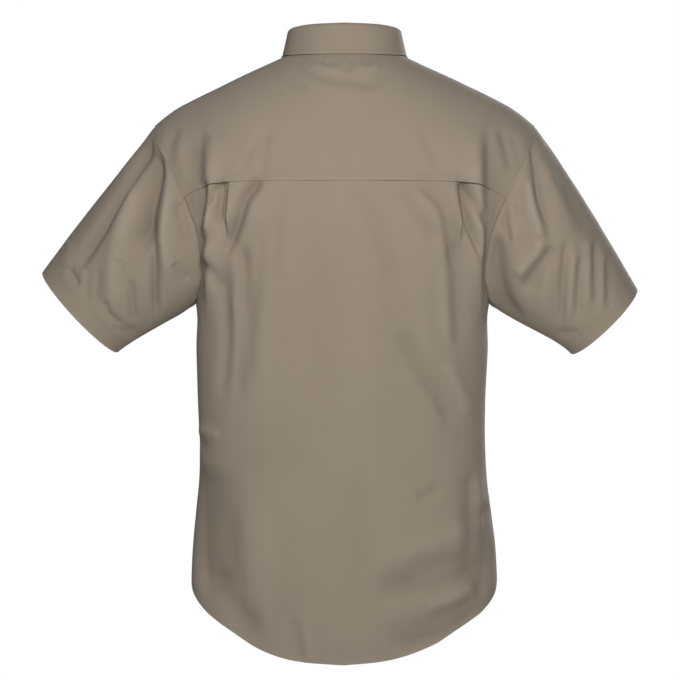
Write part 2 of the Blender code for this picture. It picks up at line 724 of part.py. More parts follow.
def add_object(name, bm, colour, roughness):
    bmesh.ops.recalc_face_normals(bm, faces=bm.faces[:])
    if bm.calc_volume(signed=True) < 0.0:
        bmesh.ops.reverse_faces(bm, faces=bm.faces[:])
    mesh = bpy.data.meshes.new(name)
    bm.to_mesh(mesh)
    bm.free()
    mesh.shade_smooth()
    mesh.set_sharp_from_angle(angle=SHARP_ANGLE)
    mesh.materials.append(material(name + "_finish", colour, roughness))
    made = bpy.data.objects.new(name, mesh)
    bpy.context.collection.objects.link(made)
    return made


def flat_wall(name, outer, inner):
    """A closed wall from a grid of outside points and a grid of inside points."""
    rows, columns = outer.shape[:2]
    bm = bmesh.new()
    bmesh.ops.create_grid(bm, x_segments=columns - 1, y_segments=rows - 1, size=1.0)
    made = bmesh.ops.extrude_face_region(bm, geom=bm.faces[:])
    for item in made["geom"]:
        if isinstance(item, bmesh.types.BMVert):
            item.co.z = 1.0
    for vert in bm.verts:
        col = round((vert.co.x + 1.0) / 2.0 * (columns - 1))
        row = round((vert.co.y + 1.0) / 2.0 * (rows - 1))
        side = outer if vert.co.z > 0.5 else inner
        vert.co = side[row, col] * MM
    return add_object(name, bm, CLOTH_COLOUR, CLOTH_ROUGHNESS)


def tube_wall(name, outer, inner):
    """A closed wall round a tube: out along its outside and back along its inside."""
    rings = np.concatenate([outer, inner[::-1]])
    count = rings.shape[1]
    bm = bmesh.new()
    bmesh.ops.create_circle(bm, segments=count, radius=1.0)
    first = bm.edges[:]
    edges = first
    for layer in range(1, len(rings)):
        made = bmesh.ops.extrude_edge_only(bm, edges=edges)
        fresh = {item for item in made["geom"] if isinstance(item, bmesh.types.BMVert)}
        for vert in fresh:
            vert.co.z = layer
        edges = [e for v in fresh for e in v.link_edges if e.other_vert(v) in fresh]
        edges = list(dict.fromkeys(edges))
    bmesh.ops.bridge_loops(bm, edges=first + edges)
    for vert in bm.verts:
        turn = np.arctan2(vert.co.y, vert.co.x) / (2.0 * np.pi)
        vert.co = rings[round(vert.co.z), round(turn * count) % count] * MM
    return add_object(name, bm, CLOTH_COLOUR, CLOTH_ROUGHNESS)


def collar_angles(last):
    """Angles of the collar's columns, the same on the stand and the leaf up to the overlap."""
    half = np.concatenate([np.linspace(0.0, 180.0 - OVERLAP_ANGLE, COLLAR_COLUMNS + 1), last])
    return np.concatenate([-half[:0:-1], half])


def stand_grid():
    """Outside of the collar stand, rows from its lower edge up."""
    angles = collar_angles((180.0, 180.0 + OVERLAP_ANGLE))
    near_front = ease((np.abs(angles) - RECESS_ANGLE) / RECESS_FADE)
    under = near_front * np.where(angles < 0, FRONT_RECESS + STAND_RECESS, FRONT_RECESS)
    grid = []
    for share in (0.0, 0.33, 0.67, 1.0):
        inset = STAND_INSET + STAND_LEAN * share + under
        plan_x, plan_y = neck_plan(angles)
        scale_x = 1.0 - inset / NECK_HALF_WIDTH
        scale_y = 1.0 - inset / np.where(plan_y > 0, NECK_BACK, NECK_FRONT)
        foot = neck_height(angles) - STAND_FOOT
        up = foot + (stand_top(angles) - foot) * share
        grid.append(np.stack([plan_x * scale_x, plan_y * scale_y, up], -1))
    return np.array(grid)


def neck_height(angles):
    x, y = neck_plan(angles)
    return over_point(x, over_height(x, y))[..., 2]


def stand_top(angles):
    forward = ease(np.abs(angles) / 180.0)
    return neck_height(angles) + STAND_BACK + (STAND_FRONT - STAND_BACK) * forward


def collar_grid():
    """Outside of the turned-down leaf, rows from the top of the stand over to its edge."""
    angles = collar_angles((LEAF_EDGE[-1].angle,))
    side = np.sign(angles)
    plan_x, plan_y = neck_plan(angles)
    out = unit(np.stack([plan_x, plan_y], -1))
    lifted = ease((np.abs(angles) - LEAF_END_ANGLE) / LEAF_END_FADE)
    top = stand_top(angles) + LEAF_END_LIFT * lifted
    inset = STAND_INSET + STAND_LEAN
    slant = np.hypot(1.0, np.gradient(top) / np.hypot(np.gradient(plan_x), np.gradient(plan_y)))
    grid = []
    for step_out, step_up in LEAF_ROLL:
        away = out * (step_out - inset)
        grid.append(np.stack([plan_x + away[:, 0], plan_y + away[:, 1], top + step_up * slant], -1))
    fold = grid[-1]
    edge = np.stack(
        [side * column(LEAF_EDGE, "angle", "x", np.abs(angles)),
         column(LEAF_EDGE, "angle", "y", np.abs(angles)),
         column(LEAF_EDGE, "angle", "z", np.abs(angles))], -1)
    for share in (0.25, 0.5, 0.75, 1.0):
        grid.append(fold + (edge - fold) * share)
    grid = np.array(grid)
    forward = ease((np.abs(angles) - LEAF_FRONT_ANGLE) / LEAF_FRONT_FADE)
    steep = LEAF_CLEARANCE + LEAF_FRONT_CLEARANCE * forward
    for row in grid[len(LEAF_ROLL):]:
        row[:, 2] = np.maximum(row[:, 2], surface_height(row) + steep)
    return grid


def surface_height(points):
    """Height of the body's outside under a point."""
    over = over_height(points[..., 0], points[..., 1])
    return over_point(points[..., 0], over)[..., 2]


def button(name, centre, normal):
    """A round button, dished inside a low rim, which lies on the cloth."""
    bm = bmesh.new()
    bmesh.ops.create_cone(bm, cap_ends=True, segments=16, radius1=BUTTON_RADIUS, radius2=BUTTON_RADIUS,
                          depth=BUTTON_THICKNESS)
    top = [f for f in bm.faces if f.normal.z > 0.9]
    bmesh.ops.inset_region(bm, faces=top, thickness=BUTTON_RIM, depth=-BUTTON_DISH)
    tilt = Vector(normal).to_track_quat("Z", "Y").to_matrix().to_4x4()
    lifted = Vector(centre) + Vector(normal) * BUTTON_THICKNESS / 2.0
    matrix = Matrix.Scale(MM, 4) @ Matrix.Translation(lifted) @ tilt
    bmesh.ops.transform(bm, matrix=matrix, verts=bm.verts[:])
    return add_object(name, bm, BUTTON_COLOUR, BUTTON_ROUGHNESS)


for old in list(bpy.data.objects):
    bpy.data.objects.remove(old)

PANELS = {
    "back": back_panel(),
    "yoke": yoke_panel(),
    "front_left": front_half(1),
    "front_right": front_half(-1),
}
PANELS["sleeve_left"] = sleeve_tube(1)
PANELS["sleeve_right"] = sleeve_tube(-1)

NORMALS = {name: outward(points, name.startswith("sleeve")) for name, points in PANELS.items()}
join_normals(PANELS, NORMALS)

EDGES = {
    "back": ("first_column", "last_column"),
    "yoke": ("last_row", "first_column", "last_column"),
    "front_left": ("first_row", "last_column"),
    "front_right": ("first_row", "last_column"),
    "sleeve_left": ("first_row",),
    "sleeve_right": ("first_row",),
}
for name, points in PANELS.items():
    outer = points.copy()
    inner = points - NORMALS[name] * WALL
    draw_back(outer, inner, EDGES[name])
    if name.startswith("sleeve"):
        tube_wall(name, outer, inner)
    else:
        flat_wall(name, outer, inner)

placket = PANELS["front_left"][:, :EDGE_COLUMNS]
placket_normal = NORMALS["front_left"][:, :EDGE_COLUMNS]
flat_wall("front_placket", placket + placket_normal * (WALL + PLACKET_GAP),
          placket + placket_normal * PLACKET_GAP)

STAND = stand_grid()
for name, grid in (("collar_stand", STAND), ("collar", collar_grid())):
    flat_wall(name, grid, grid - outward(grid, False) * COLLAR_WALL)

front_column = STAND.shape[1] - 2
button("button_1", STAND[1:3, front_column].mean(axis=0) - [0.0, STAND_BUTTON_GAP, 0.0],
       outward(STAND, False)[1, front_column])
for number, up in enumerate(BUTTON_HEIGHTS, start=2):
    spot = place(-1, np.zeros(1), np.full(1, up), 0.0)[0]
    aim = hull_normal(-1, np.zeros(1), np.full(1, up))[0]
    button(f"button_{number}", spot + aim * (WALL + PLACKET_GAP + BUTTON_GAP), aim)
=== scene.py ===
# %% [markdown]
# # A short-sleeve button shirt
# The shirt hangs in the air as if someone wore it: the cloth is filled out, and nothing is inside.
# The script builds it as a tailor does, one cut panel after another: back, yoke, two fronts,
# two sleeves, collar stand and collar.  Every panel follows one shared body form, so the seams meet.

from collections import namedtuple

import bmesh
import bpy
import numpy as np
from mathutils import Matrix, Vector


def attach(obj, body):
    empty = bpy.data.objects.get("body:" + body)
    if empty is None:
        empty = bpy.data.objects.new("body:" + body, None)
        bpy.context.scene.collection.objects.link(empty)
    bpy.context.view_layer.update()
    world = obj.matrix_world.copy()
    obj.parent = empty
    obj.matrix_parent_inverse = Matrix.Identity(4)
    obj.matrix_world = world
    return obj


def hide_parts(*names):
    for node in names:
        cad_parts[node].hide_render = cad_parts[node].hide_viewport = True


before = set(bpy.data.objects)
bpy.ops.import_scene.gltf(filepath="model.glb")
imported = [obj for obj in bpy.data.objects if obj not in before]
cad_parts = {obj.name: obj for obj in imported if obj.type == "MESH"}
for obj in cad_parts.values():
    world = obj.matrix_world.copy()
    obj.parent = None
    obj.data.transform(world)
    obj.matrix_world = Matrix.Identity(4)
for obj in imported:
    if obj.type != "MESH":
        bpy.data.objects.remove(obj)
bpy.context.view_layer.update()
MM = 0.001

# %% [markdown]
# ## Camera
# The photograph looks straight at the back of the shirt from about four metres.  A long lens from
# there keeps the near and far parts at nearly one scale, which is how shop pictures are taken.

# %% Camera
CAMERA_PLACE = (0.00585, 4.0, -0.364)
FOCAL_LENGTH = 162.9
camera_data = bpy.data.cameras.new("camera")
camera_data.lens = FOCAL_LENGTH
camera_data.sensor_width = 36.0
camera_data.dof.use_dof = False
camera = bpy.data.objects.new("camera", camera_data)
camera.location = CAMERA_PLACE
camera.rotation_euler = Vector((0.0, -1.0, 0.0)).to_track_quat("-Z", "Y").to_euler()
bpy.context.scene.collection.objects.link(camera)
bpy.context.scene.camera = camera

# %% [markdown]
# ## Curves from short tables
# A garment has few truly straight lines.  Each line here is a smooth curve through a short table of
# measured places, which is how a pattern cutter draws one: a few marks, joined with a bent rule.

# %% Curves
def ease(value):
    """Step that starts and ends gently, from 0 to 1."""
    value = np.clip(value, 0.0, 1.0)
    return value * value * (3.0 - 2.0 * value)


def through(places, values, at, flat_end=False):
    """Smooth curve through the points of a short table."""
    places = np.asarray(places, float)
    values = np.asarray(values, float)
    slopes = np.gradient(values, places)
    if flat_end:
        slopes[-1] = 0.0
    at = np.clip(at, places[0], places[-1])
    index = np.clip(np.searchsorted(places, at) - 1, 0, len(places) - 2)
    step = places[index + 1] - places[index]
    share = (at - places[index]) / step
    rest = 1.0 - share
    return (
        values[index] * rest * rest * (1.0 + 2.0 * share)
        + values[index + 1] * share * share * (3.0 - 2.0 * share)
        + slopes[index] * step * share * rest * rest
        - slopes[index + 1] * step * share * share * rest
    )


def column(rows, place, value, at, flat_end=False):
    """Smooth curve through one named column of a table."""
    return through([getattr(r, place) for r in rows], [getattr(r, value) for r in rows], at, flat_end)


def unit(vectors):
    """The same directions, each one long."""
    length = np.linalg.norm(vectors, axis=-1, keepdims=True)
    return vectors / np.maximum(length, 1e-9)


# %% [markdown]
# ## The form that fills the shirt
# A dressmaker's dummy could be sculpted and the cloth dropped on it.  Here the dummy is a formula:
# at each height the plan is a rounded box with a measured width and depth, and above the chest the
# plan closes over to the shoulder line.  A place on it is named by face (back or front), by how far
# round it lies, and by its height along the cloth.  All lengths are millimetres until a mesh is made.

# %% Body form
CHEST = -162.0
UNDERARM = -318.0
SIDE_HEM = -670.0
ARCH = 190.0
RIDGE_HEIGHT = CHEST + ARCH
BACK_POWER = 2.5
FRONT_POWER = 2.3
TURN_STEP = 0.001
RISE_STEP = 0.4

Section = namedtuple("Section", "height half_width back_depth front_depth sway")
SECTIONS = (
    Section(-800.0, 198.0, 117.0, 118.0, 0.0),
    Section(-670.0, 197.6, 116.0, 122.0, 0.0),
    Section(-630.0, 196.0, 114.0, 124.0, 0.3),
    Section(-585.0, 191.5, 112.0, 126.0, 1.3),
    Section(-546.0, 187.0, 110.0, 127.0, 2.0),
    Section(-507.0, 185.3, 110.0, 128.0, 2.6),
    Section(-440.0, 186.6, 113.0, 130.0, 3.9),
    Section(-377.0, 189.0, 118.0, 133.0, 3.2),
    Section(-318.0, 190.5, 123.0, 136.0, 2.6),
    Section(-240.0, 228.0, 128.0, 137.0, 0.5),
    Section(-200.0, 252.0, 129.0, 135.0, 0.0),
    Section(CHEST, 262.0, 128.0, 130.0, 0.0),
)

Ridge = namedtuple("Ridge", "across height")
RIDGE = (
    # the mirror image of the third row, so that the ridge is level in the middle
    Ridge(-40.0, 21.0),
    Ridge(0.0, 28.0),
    Ridge(40.0, 21.0),
    Ridge(72.0, 6.5),
    Ridge(91.0, -2.6),
    Ridge(125.0, -18.2),
    Ridge(158.0, -33.8),
    Ridge(190.0, -49.4),
    Ridge(219.0, -65.0),
    Ridge(237.0, -78.0),
    Ridge(251.0, -90.5),
    Ridge(262.0, -104.0),
)


def body(value, height):
    """One measure of the body at a height."""
    return column(SECTIONS, "height", value, height, flat_end=True)


def ridge(across):
    """Height of the shoulder line."""
    return column(RIDGE, "across", "height", across)


def curl(face, across):
    """How squarely the cloth turns from the chest onto the shoulder."""
    back = 2.2 - 0.2 * np.clip(across / 200.0, 0.0, 1.0)
    front = 1.25 + 0.75 * ease(across / 125.0)
    return np.where(face > 0, back, front)


def power(face):
    """How square the plan is at the back or in front."""
    return np.where(face > 0, BACK_POWER, FRONT_POWER)


def hull(face, across, height):
    """Outside of the filled-out body, face 1 at the back and -1 in front."""
    low = np.minimum(height, CHEST)
    depth = np.where(face > 0, body("back_depth", low), body("front_depth", low))
    share = np.clip(np.abs(across) / body("half_width", low), 0.0, 1.0)
    out = depth * (1.0 - share ** power(face)) ** (1.0 / power(face))
    rise = np.clip((height - CHEST) / ARCH, 0.0, 1.0) * np.pi / 2.0
    bend = 2.0 / curl(face, np.abs(across))
    lifted = CHEST + (ridge(np.abs(across)) - CHEST) * np.sin(rise) ** bend
    up = np.where(height > CHEST, lifted, height)
    out = out * np.clip(np.cos(rise), 0.0, 1.0) ** bend
    return np.stack(np.broadcast_arrays(across + body("sway", low), face * out, up), -1)


def across_of(face, turn, height):
    """Distance from the middle at a share of the quarter turn."""
    half = body("half_width", np.minimum(height, CHEST))
    return np.sign(turn) * half * np.sin(np.abs(turn) * np.pi / 2.0) ** (2.0 / power(face))


def turn_of(face, across, height):
    """Share of the quarter turn at a distance from the middle."""
    share = np.abs(across) / body("half_width", np.minimum(height, CHEST))
    angle = np.arcsin(np.clip(share, 0.0, 1.0) ** (power(face) / 2.0))
    return np.sign(across) * angle * 2.0 / np.pi


def cloth_height(face, across, up):
    """Height along the cloth of a place that lies up there in space."""
    share = np.clip((up - CHEST) / (ridge(np.abs(across)) - CHEST), 0.0, 1.0)
    rise = np.arcsin(share ** (curl(face, np.abs(across)) / 2.0)) * 2.0 / np.pi
    return np.where(up > CHEST, CHEST + ARCH * rise, up)


def hull_normal(face, turn, height):
    """Direction that points out of the body, from small steps along the cloth."""
    side = [np.clip(turn + step, -1.0, 1.0) for step in (-TURN_STEP, TURN_STEP)]
    rise = [np.minimum(height + step, RIDGE_HEIGHT) for step in (-RISE_STEP, RISE_STEP)]
    along = hull(face, across_of(face, side[1], height), height)
    along = along - hull(face, across_of(face, side[0], height), height)
    across = across_of(face, turn, height)
    upward = hull(face, across, rise[1]) - hull(face, across, rise[0])
    return unit(np.cross(upward, along)) * np.asarray(face, float)[..., None]


print(len(SECTIONS), "sections and", len(RIDGE), "marks on the shoulder line")

# %% [markdown]
# ## Folds and creases
# Cloth hangs from the seams that hold it and breaks into folds where there is too much of it: behind
# the arms, under the pleats and down the sleeves.  A simulation would find folds of its own, but not
# these ones, so each main crease is laid along the path it takes.  A row says how wide the
# trough is towards the middle of the shirt and towards its side, how deep it is (a depth below zero
# is a ridge) and how sharp its bottom is.  Its path is a few marks, across and up.

# %% Crease tables
Crease = namedtuple("Crease", "inner outer depth sharp path")
BACK_CREASES = (
    # behind the arms the cloth drops steeply into a valley, and rises slowly to the seam
    Crease(12.0, 28.8, 14.1, 2.0, (
           (186, -92), (189, -136), (190, -167), (191, -205), (191, -250), (190, -328))),
    Crease(11.4, 26.4, 14.1, 2.0, (
           (-186, -87), (-187, -123), (-188, -167), (-188, -212), (-188, -250), (-185, -328))),
    Crease(14.4, 7.2, -4.4, 2.0, ((173, -123), (172, -187), (172, -263), (173, -351))),
    Crease(14.4, 7.2, -4.4, 2.0, ((-169, -123), (-169, -187), (-172, -263), (-172, -351))),
    # fanning out of the yoke seam and the pleats
    Crease(6.6, 10.2, 15.3, 1.7, (
           (102, -159), (116, -175), (123, -184), (128, -195), (132, -209), (137, -223),
           (143, -238), (151, -258))),
    Crease(8.2, 6.6, 2.5, 1.8, ((94, -96), (102, -127), (104, -144), (107, -165))),
    Crease(8.2, 6.6, 2.2, 1.8, ((101, -94), (109, -115), (120, -126), (125, -137), (130, -162))),
    Crease(5.8, 19.8, 7.1, 1.7, (
           (-87, -164), (-104, -177), (-116, -188), (-124, -200), (-129, -219), (-133, -244), (-138, -282))),
    Crease(8.2, 8.2, 4.4, 1.7, ((-75, -172), (-86, -194), (-95, -210), (-104, -223), (-120, -243))),
    Crease(9.6, 13.2, 4.0, 2.0, ((-7, -167), (-27, -194), (-39, -225), (-51, -253), (-67, -304))),
    Crease(8.2, 8.2, 2.7, 1.7, ((-97, -99), (-104, -114), (-112, -130), (-121, -152))),
    Crease(9.6, 9.6, 2.6, 2.0, ((73, -170), (81, -194), (85, -238), (89, -301))),
    # the openings of the pleats
    Crease(4.1, 9.9, 11.9, 1.6, (
           (-143, -159), (-147, -174), (-150, -195), (-155, -215), (-164, -238), (-174, -265))),
    Crease(6.6, 6.6, 9.2, 1.7, ((-146, -162), (-154, -175), (-164, -192), (-173, -205), (-183, -220))),
    Crease(5.6, 5.6, 8.5, 1.7, ((150, -163), (160, -171), (168, -180), (173, -196))),
    Crease(4.9, 6.6, 9.2, 1.7, ((152, -167), (155, -182), (157, -197), (159, -217))),
    Crease(5.6, 8.2, 12.6, 1.7, ((177, -161), (178, -176), (181, -194), (186, -220))),
    Crease(8.4, 8.4, -6.4, 2.0, ((165, -202), (173, -215), (179, -225))),
    Crease(8.4, 8.4, -4.2, 2.0, ((-167, -214), (-173, -235), (-178, -263))),
    Crease(8.4, 8.4, -4.8, 2.0, ((166, -242), (174, -252), (182, -258))),
    Crease(7.4, 7.4, 6.8, 1.7, ((187, -270), (176, -271), (166, -280), (159, -301))),
    Crease(7.2, 7.2, 3.1, 1.8, ((166, -222), (177, -237), (186, -245))),
    # long soft drapes down the back
    Crease(10.8, 8.4, 7.4, 2.0, ((135, -233), (128, -266), (127, -314), (132, -377), (135, -450))),
    Crease(9.6, 7.2, 3.4, 2.0, ((104, -228), (109, -276), (117, -339), (122, -430))),
    Crease(8.4, 8.4, -3.2, 2.0, ((142, -301), (135, -351), (142, -414))),
    Crease(12.0, 8.4, 6.4, 2.0, ((155, -258), (152, -313), (150, -377), (157, -446))),
    Crease(10.8, 10.8, 4.8, 2.0, ((-141, -232), (-142, -275), (-144, -326), (-147, -379))),
    Crease(8.4, 8.4, -2.9, 2.0, ((-126, -265), (-128, -313), (-133, -377))),
    Crease(28.8, 28.8, 2.9, 2.0, ((29, -200), (34, -314), (29, -465))),
    Crease(26.4, 26.4, 2.6, 2.0, ((-60, -263), (-67, -377), (-60, -528))),
    Crease(19.2, 19.2, 2.6, 2.0, ((-9, -528), (-14, -616), (-9, -742))),
    Crease(16.8, 16.8, 2.1, 2.0, ((87, -566), (79, -642), (84, -742))),
    # pulls at the waist and the hip
    Crease(10.8, 14.4, 6.4, 2.0, ((-67, -351), (-85, -379), (-105, -412), (-126, -445), (-141, -483))),
    Crease(10.8, 10.8, -4.2, 2.0, ((-128, -392), (-141, -415), (-154, -445), (-159, -465))),
    Crease(6.6, 6.6, 2.7, 1.6, ((190, -489), (184, -497), (178, -507))),
    Crease(8.2, 8.2, -4.1, 2.0, ((190, -479), (176, -482), (159, -487))),
    Crease(40.8, 9.6, 12.5, 2.0, ((185, -519), (184, -580), (181, -644), (166, -702))),
    Crease(16.8, 19.2, 4.5, 2.0, ((148, -567), (143, -643), (128, -707), (105, -758))),
    Crease(7.2, 7.2, -3.7, 2.0, ((-68, -759), (-98, -754), (-131, -742))),
    Crease(8.4, 8.4, 3.5, 1.9, ((-90, -567), (-106, -560), (-123, -549))),
    Crease(13.2, 8.2, 4.4, 1.9, ((-160, -529), (-161, -580), (-162, -652))),
    Crease(7.2, 7.2, -3.4, 2.0, ((-171, -537), (-174, -576), (-178, -614))),
    Crease(18.0, 18.0, 8.3, 2.0, ((-35, -681), (-70, -671), (-106, -658), (-141, -651), (-187, -646))),
    Crease(9.6, 9.6, 3.8, 1.9, ((-60, -673), (-101, -675), (-139, -669), (-182, -650))),
    Crease(13.2, 13.2, -3.5, 2.0, ((-65, -638), (-101, -624), (-134, -614), (-172, -605))),
    Crease(10.8, 10.8, -6.1, 2.0, ((-101, -700), (-134, -694), (-172, -673))),
    Crease(19.2, 19.2, 6.7, 2.0, ((-50, -744), (-108, -731), (-174, -698))),
    Crease(7.2, 7.2, 3.7, 1.8, ((-63, -751), (-101, -744), (-141, -729), (-179, -701))),
    Crease(26.4, 9.6, 8.0, 2.0, ((-184, -567), (-182, -644), (-167, -702))),
    Crease(15.6, 15.6, 5.8, 2.0, ((168, -653), (145, -699), (107, -739))),
    Crease(8.2, 8.2, 4.1, 1.7, ((67, -715), (60, -738), (56, -773))),
    Crease(8.4, 8.4, -2.6, 2.0, ((51, -728), (46, -748), (41, -773))),
    # puckers below the collar
    Crease(7.4, 7.4, 2.9, 2.0, (
           (54, -8), (40, -23), (19, -32), (-9, -36), (-35, -39), (-51, -26), (-59, -11))),
    Crease(5.9, 5.9, -2.5, 2.0, ((47, -13), (31, -18), (3, -22))),
    Crease(6.3, 6.3, -2.9, 2.0, ((-15, -17), (-30, -19), (-48, -13))),
    Crease(4.0, 4.0, 2.0, 1.6, ((-7, -3), (-7, -13), (-2, -25))),
    Crease(3.6, 3.6, 1.7, 1.6, ((31, -3), (27, -10), (17, -15))),
    Crease(3.6, 3.6, 1.5, 1.6, ((58, -5), (55, -14), (52, -23))),
    Crease(8.2, 8.2, 1.7, 1.8, ((74, -26), (62, -36), (46, -44))),
    # between the neck and the armholes, on the shoulders
    Crease(6.6, 6.6, 4.1, 1.7, ((-197, -92), (-206, -113), (-215, -148))),
    Crease(5.6, 5.6, 3.1, 1.7, ((-213, -100), (-219, -117), (-224, -140))),
    Crease(8.4, 8.4, -3.2, 2.0, ((-190, -95), (-196, -123), (-200, -161))),
    Crease(8.4, 8.4, -2.9, 2.0, ((209, -105), (209, -136), (204, -166))),
    Crease(7.2, 7.2, 3.7, 1.8, ((214, -90), (223, -118), (224, -140))),
    Crease(8.2, 8.2, 2.7, 1.8, ((189, -100), (179, -107), (189, -113))),
)
FRONT_CREASES = (
    # behind the arms, from the armhole down to the side seam
    Crease(9.0, 22.0, 9.0, 1.8, ((176, -110), (178, -170), (181, -240), (184, -312))),
    Crease(9.0, 22.0, 9.0, 1.8, ((-177, -108), (-179, -172), (-181, -236), (-184, -312))),
    Crease(9.0, 9.0, -3.4, 2.0, ((160, -150), (163, -220), (166, -300))),
    Crease(9.0, 9.0, -3.4, 2.0, ((-160, -156), (-162, -226), (-166, -296))),
    # from the armholes towards the chest
    Crease(6.0, 8.0, 6.0, 1.7, ((172, -128), (154, -168), (130, -216), (108, -268))),
    Crease(6.0, 8.0, 6.2, 1.7, ((-174, -134), (-152, -182), (-128, -226), (-98, -282))),
    Crease(7.0, 7.0, 4.0, 1.7, ((168, -210), (146, -262), (132, -322))),
    Crease(7.0, 7.0, 3.6, 1.7, ((-170, -216), (-150, -262), (-140, -318))),
    # down from the shoulders
    Crease(9.0, 9.0, 3.4, 1.8, ((118, -60), (110, -120), (92, -192))),
    Crease(9.0, 9.0, 3.0, 1.8, ((-114, -62), (-108, -130), (-88, -204))),
    # pulls from one button to the next, and long drapes
    Crease(6.0, 6.0, 2.4, 1.7, ((30, -215), (54, -236), (70, -276))),
    Crease(6.0, 6.0, 2.4, 1.7, ((-30, -306), (-52, -330), (-66, -366))),
    Crease(7.0, 7.0, 2.6, 1.7, ((32, -398), (60, -420), (96, -428))),
    Crease(14.0, 14.0, 4.4, 2.0, ((66, -290), (72, -420), (60, -570))),
    Crease(14.0, 14.0, 4.0, 2.0, ((-64, -330), (-74, -470), (-62, -610))),
    Crease(12.0, 12.0, -3.2, 2.0, ((92, -330), (98, -450), (88, -560))),
    Crease(12.0, 12.0, -3.0, 2.0, ((-96, -360), (-102, -480), (-90, -600))),
    # pulls at the waist and the hip
    Crease(9.0, 12.0, 6.4, 1.8, ((88, -330), (118, -388), (154, -436))),
    Crease(9.0, 12.0, 6.0, 1.8, ((-94, -352), (-124, -408), (-158, -444))),
    Crease(6.0, 6.0, 4.0, 1.6, ((178, -466), (152, -484), (120, -490))),
    Crease(6.0, 6.0, 3.6, 1.6, ((-180, -458), (-154, -478), (-124, -488))),
    Crease(12.0, 12.0, 4.8, 2.0, ((126, -520), (134, -600), (120, -706))),
    Crease(12.0, 12.0, 4.6, 2.0, ((-128, -534), (-136, -610), (-122, -704))),
    Crease(8.0, 8.0, 4.0, 1.7, ((168, -636), (138, -668), (92, -676))),
    Crease(8.0, 8.0, 3.6, 1.7, ((-170, -620), (-140, -654), (-98, -668))),
)
SLEEVE_BACK_CREASES = (
    # left sleeve
    Crease(7.6, 8.9, 13.6, 1.6, (
           (246, -98), (258, -127), (275, -163), (287, -185), (300, -205), (309, -221),
           (322, -240), (332, -258), (344, -280))),
    Crease(16.8, 13.2, -7.4, 2.0, ((261, -155), (279, -203), (295, -259), (297, -313), (292, -341))),
    Crease(8.2, 19.8, 17.8, 2.0, (
           (236, -109), (237, -132), (238, -157), (241, -185), (246, -213), (253, -242), (258, -264))),
    Crease(5.3, 6.9, 10.2, 1.6, ((244, -201), (242, -236), (241, -270), (241, -341))),
    Crease(15.6, 9.6, -7.7, 2.0, ((225, -165), (231, -214), (229, -257), (223, -295))),
    Crease(9.6, 9.6, -2.6, 2.0, ((352, -236), (357, -256), (362, -272))),
    Crease(5.3, 5.3, 5.1, 1.6, ((354, -271), (348, -282), (339, -296))),
    Crease(5.3, 5.3, 4.8, 1.6, ((308, -313), (301, -331), (285, -345))),
    Crease(5.9, 5.9, 5.1, 1.7, ((274, -285), (272, -310), (269, -344))),
    Crease(7.2, 7.2, 3.1, 1.8, ((288, -259), (285, -280), (287, -303))),
    Crease(5.9, 5.9, 3.1, 1.7, ((327, -272), (330, -295), (329, -318))),
    Crease(6.6, 6.6, 2.7, 1.7, ((313, -274), (317, -297), (316, -320))),
    Crease(8.2, 8.2, 3.7, 1.7, ((220, -265), (210, -277), (197, -288))),
    Crease(7.2, 7.2, 3.1, 1.8, ((298, -346), (282, -352), (265, -351))),
    Crease(8.4, 8.4, 4.2, 1.8, ((212, -181), (205, -214), (199, -249))),
    # right sleeve
    Crease(5.9, 5.3, 7.8, 1.6, (
           (-237, -109), (-244, -141), (-246, -166), (-248, -184), (-253, -201), (-262, -224))),
    Crease(14.4, 7.2, -10.2, 2.0, ((-231, -155), (-238, -191), (-249, -229), (-250, -244))),
    Crease(10.8, 10.8, -8.0, 2.0, ((-253, -236), (-242, -258), (-216, -284))),
    Crease(8.2, 11.5, 6.5, 1.7, ((-266, -241), (-255, -258), (-243, -273), (-234, -290), (-224, -305))),
    Crease(10.8, 10.8, -3.8, 2.0, ((-255, -134), (-270, -180), (-283, -213))),
    Crease(10.8, 10.8, 3.8, 2.0, ((-271, -134), (-294, -190), (-312, -231))),
    Crease(5.6, 5.6, 6.1, 1.6, ((-283, -233), (-280, -264), (-278, -300), (-278, -346))),
    Crease(7.4, 7.4, -4.1, 2.0, ((-294, -244), (-290, -287), (-284, -351))),
    Crease(6.3, 6.3, 4.1, 1.8, ((-302, -256), (-299, -292), (-298, -336))),
    Crease(8.2, 8.2, -3.7, 2.0, ((-312, -231), (-311, -274), (-308, -328))),
    Crease(6.3, 6.3, 3.9, 1.8, ((-322, -233), (-320, -274), (-322, -323))),
    Crease(6.6, 6.6, -3.4, 2.0, ((-331, -243), (-330, -282), (-328, -331))),
    Crease(7.3, 7.3, 3.2, 1.8, ((-337, -259), (-337, -292), (-336, -325))),
    Crease(5.6, 5.6, 5.8, 1.6, ((-201, -191), (-204, -214), (-211, -244))),
    Crease(9.6, 9.6, -3.5, 2.0, ((-213, -181), (-216, -211), (-218, -244))),
    Crease(7.4, 7.4, 4.1, 1.7, ((-225, -160), (-222, -191), (-222, -214))),
    Crease(14.4, 14.4, 13.1, 2.0, (
           (-190, -224), (-193, -265), (-199, -298), (-212, -328), (-231, -354))),
    Crease(8.4, 8.4, -4.2, 2.0, ((-260, -264), (-256, -300), (-250, -341))),
    Crease(6.6, 6.6, 3.1, 1.7, ((-273, -351), (-286, -355), (-301, -351))),
)
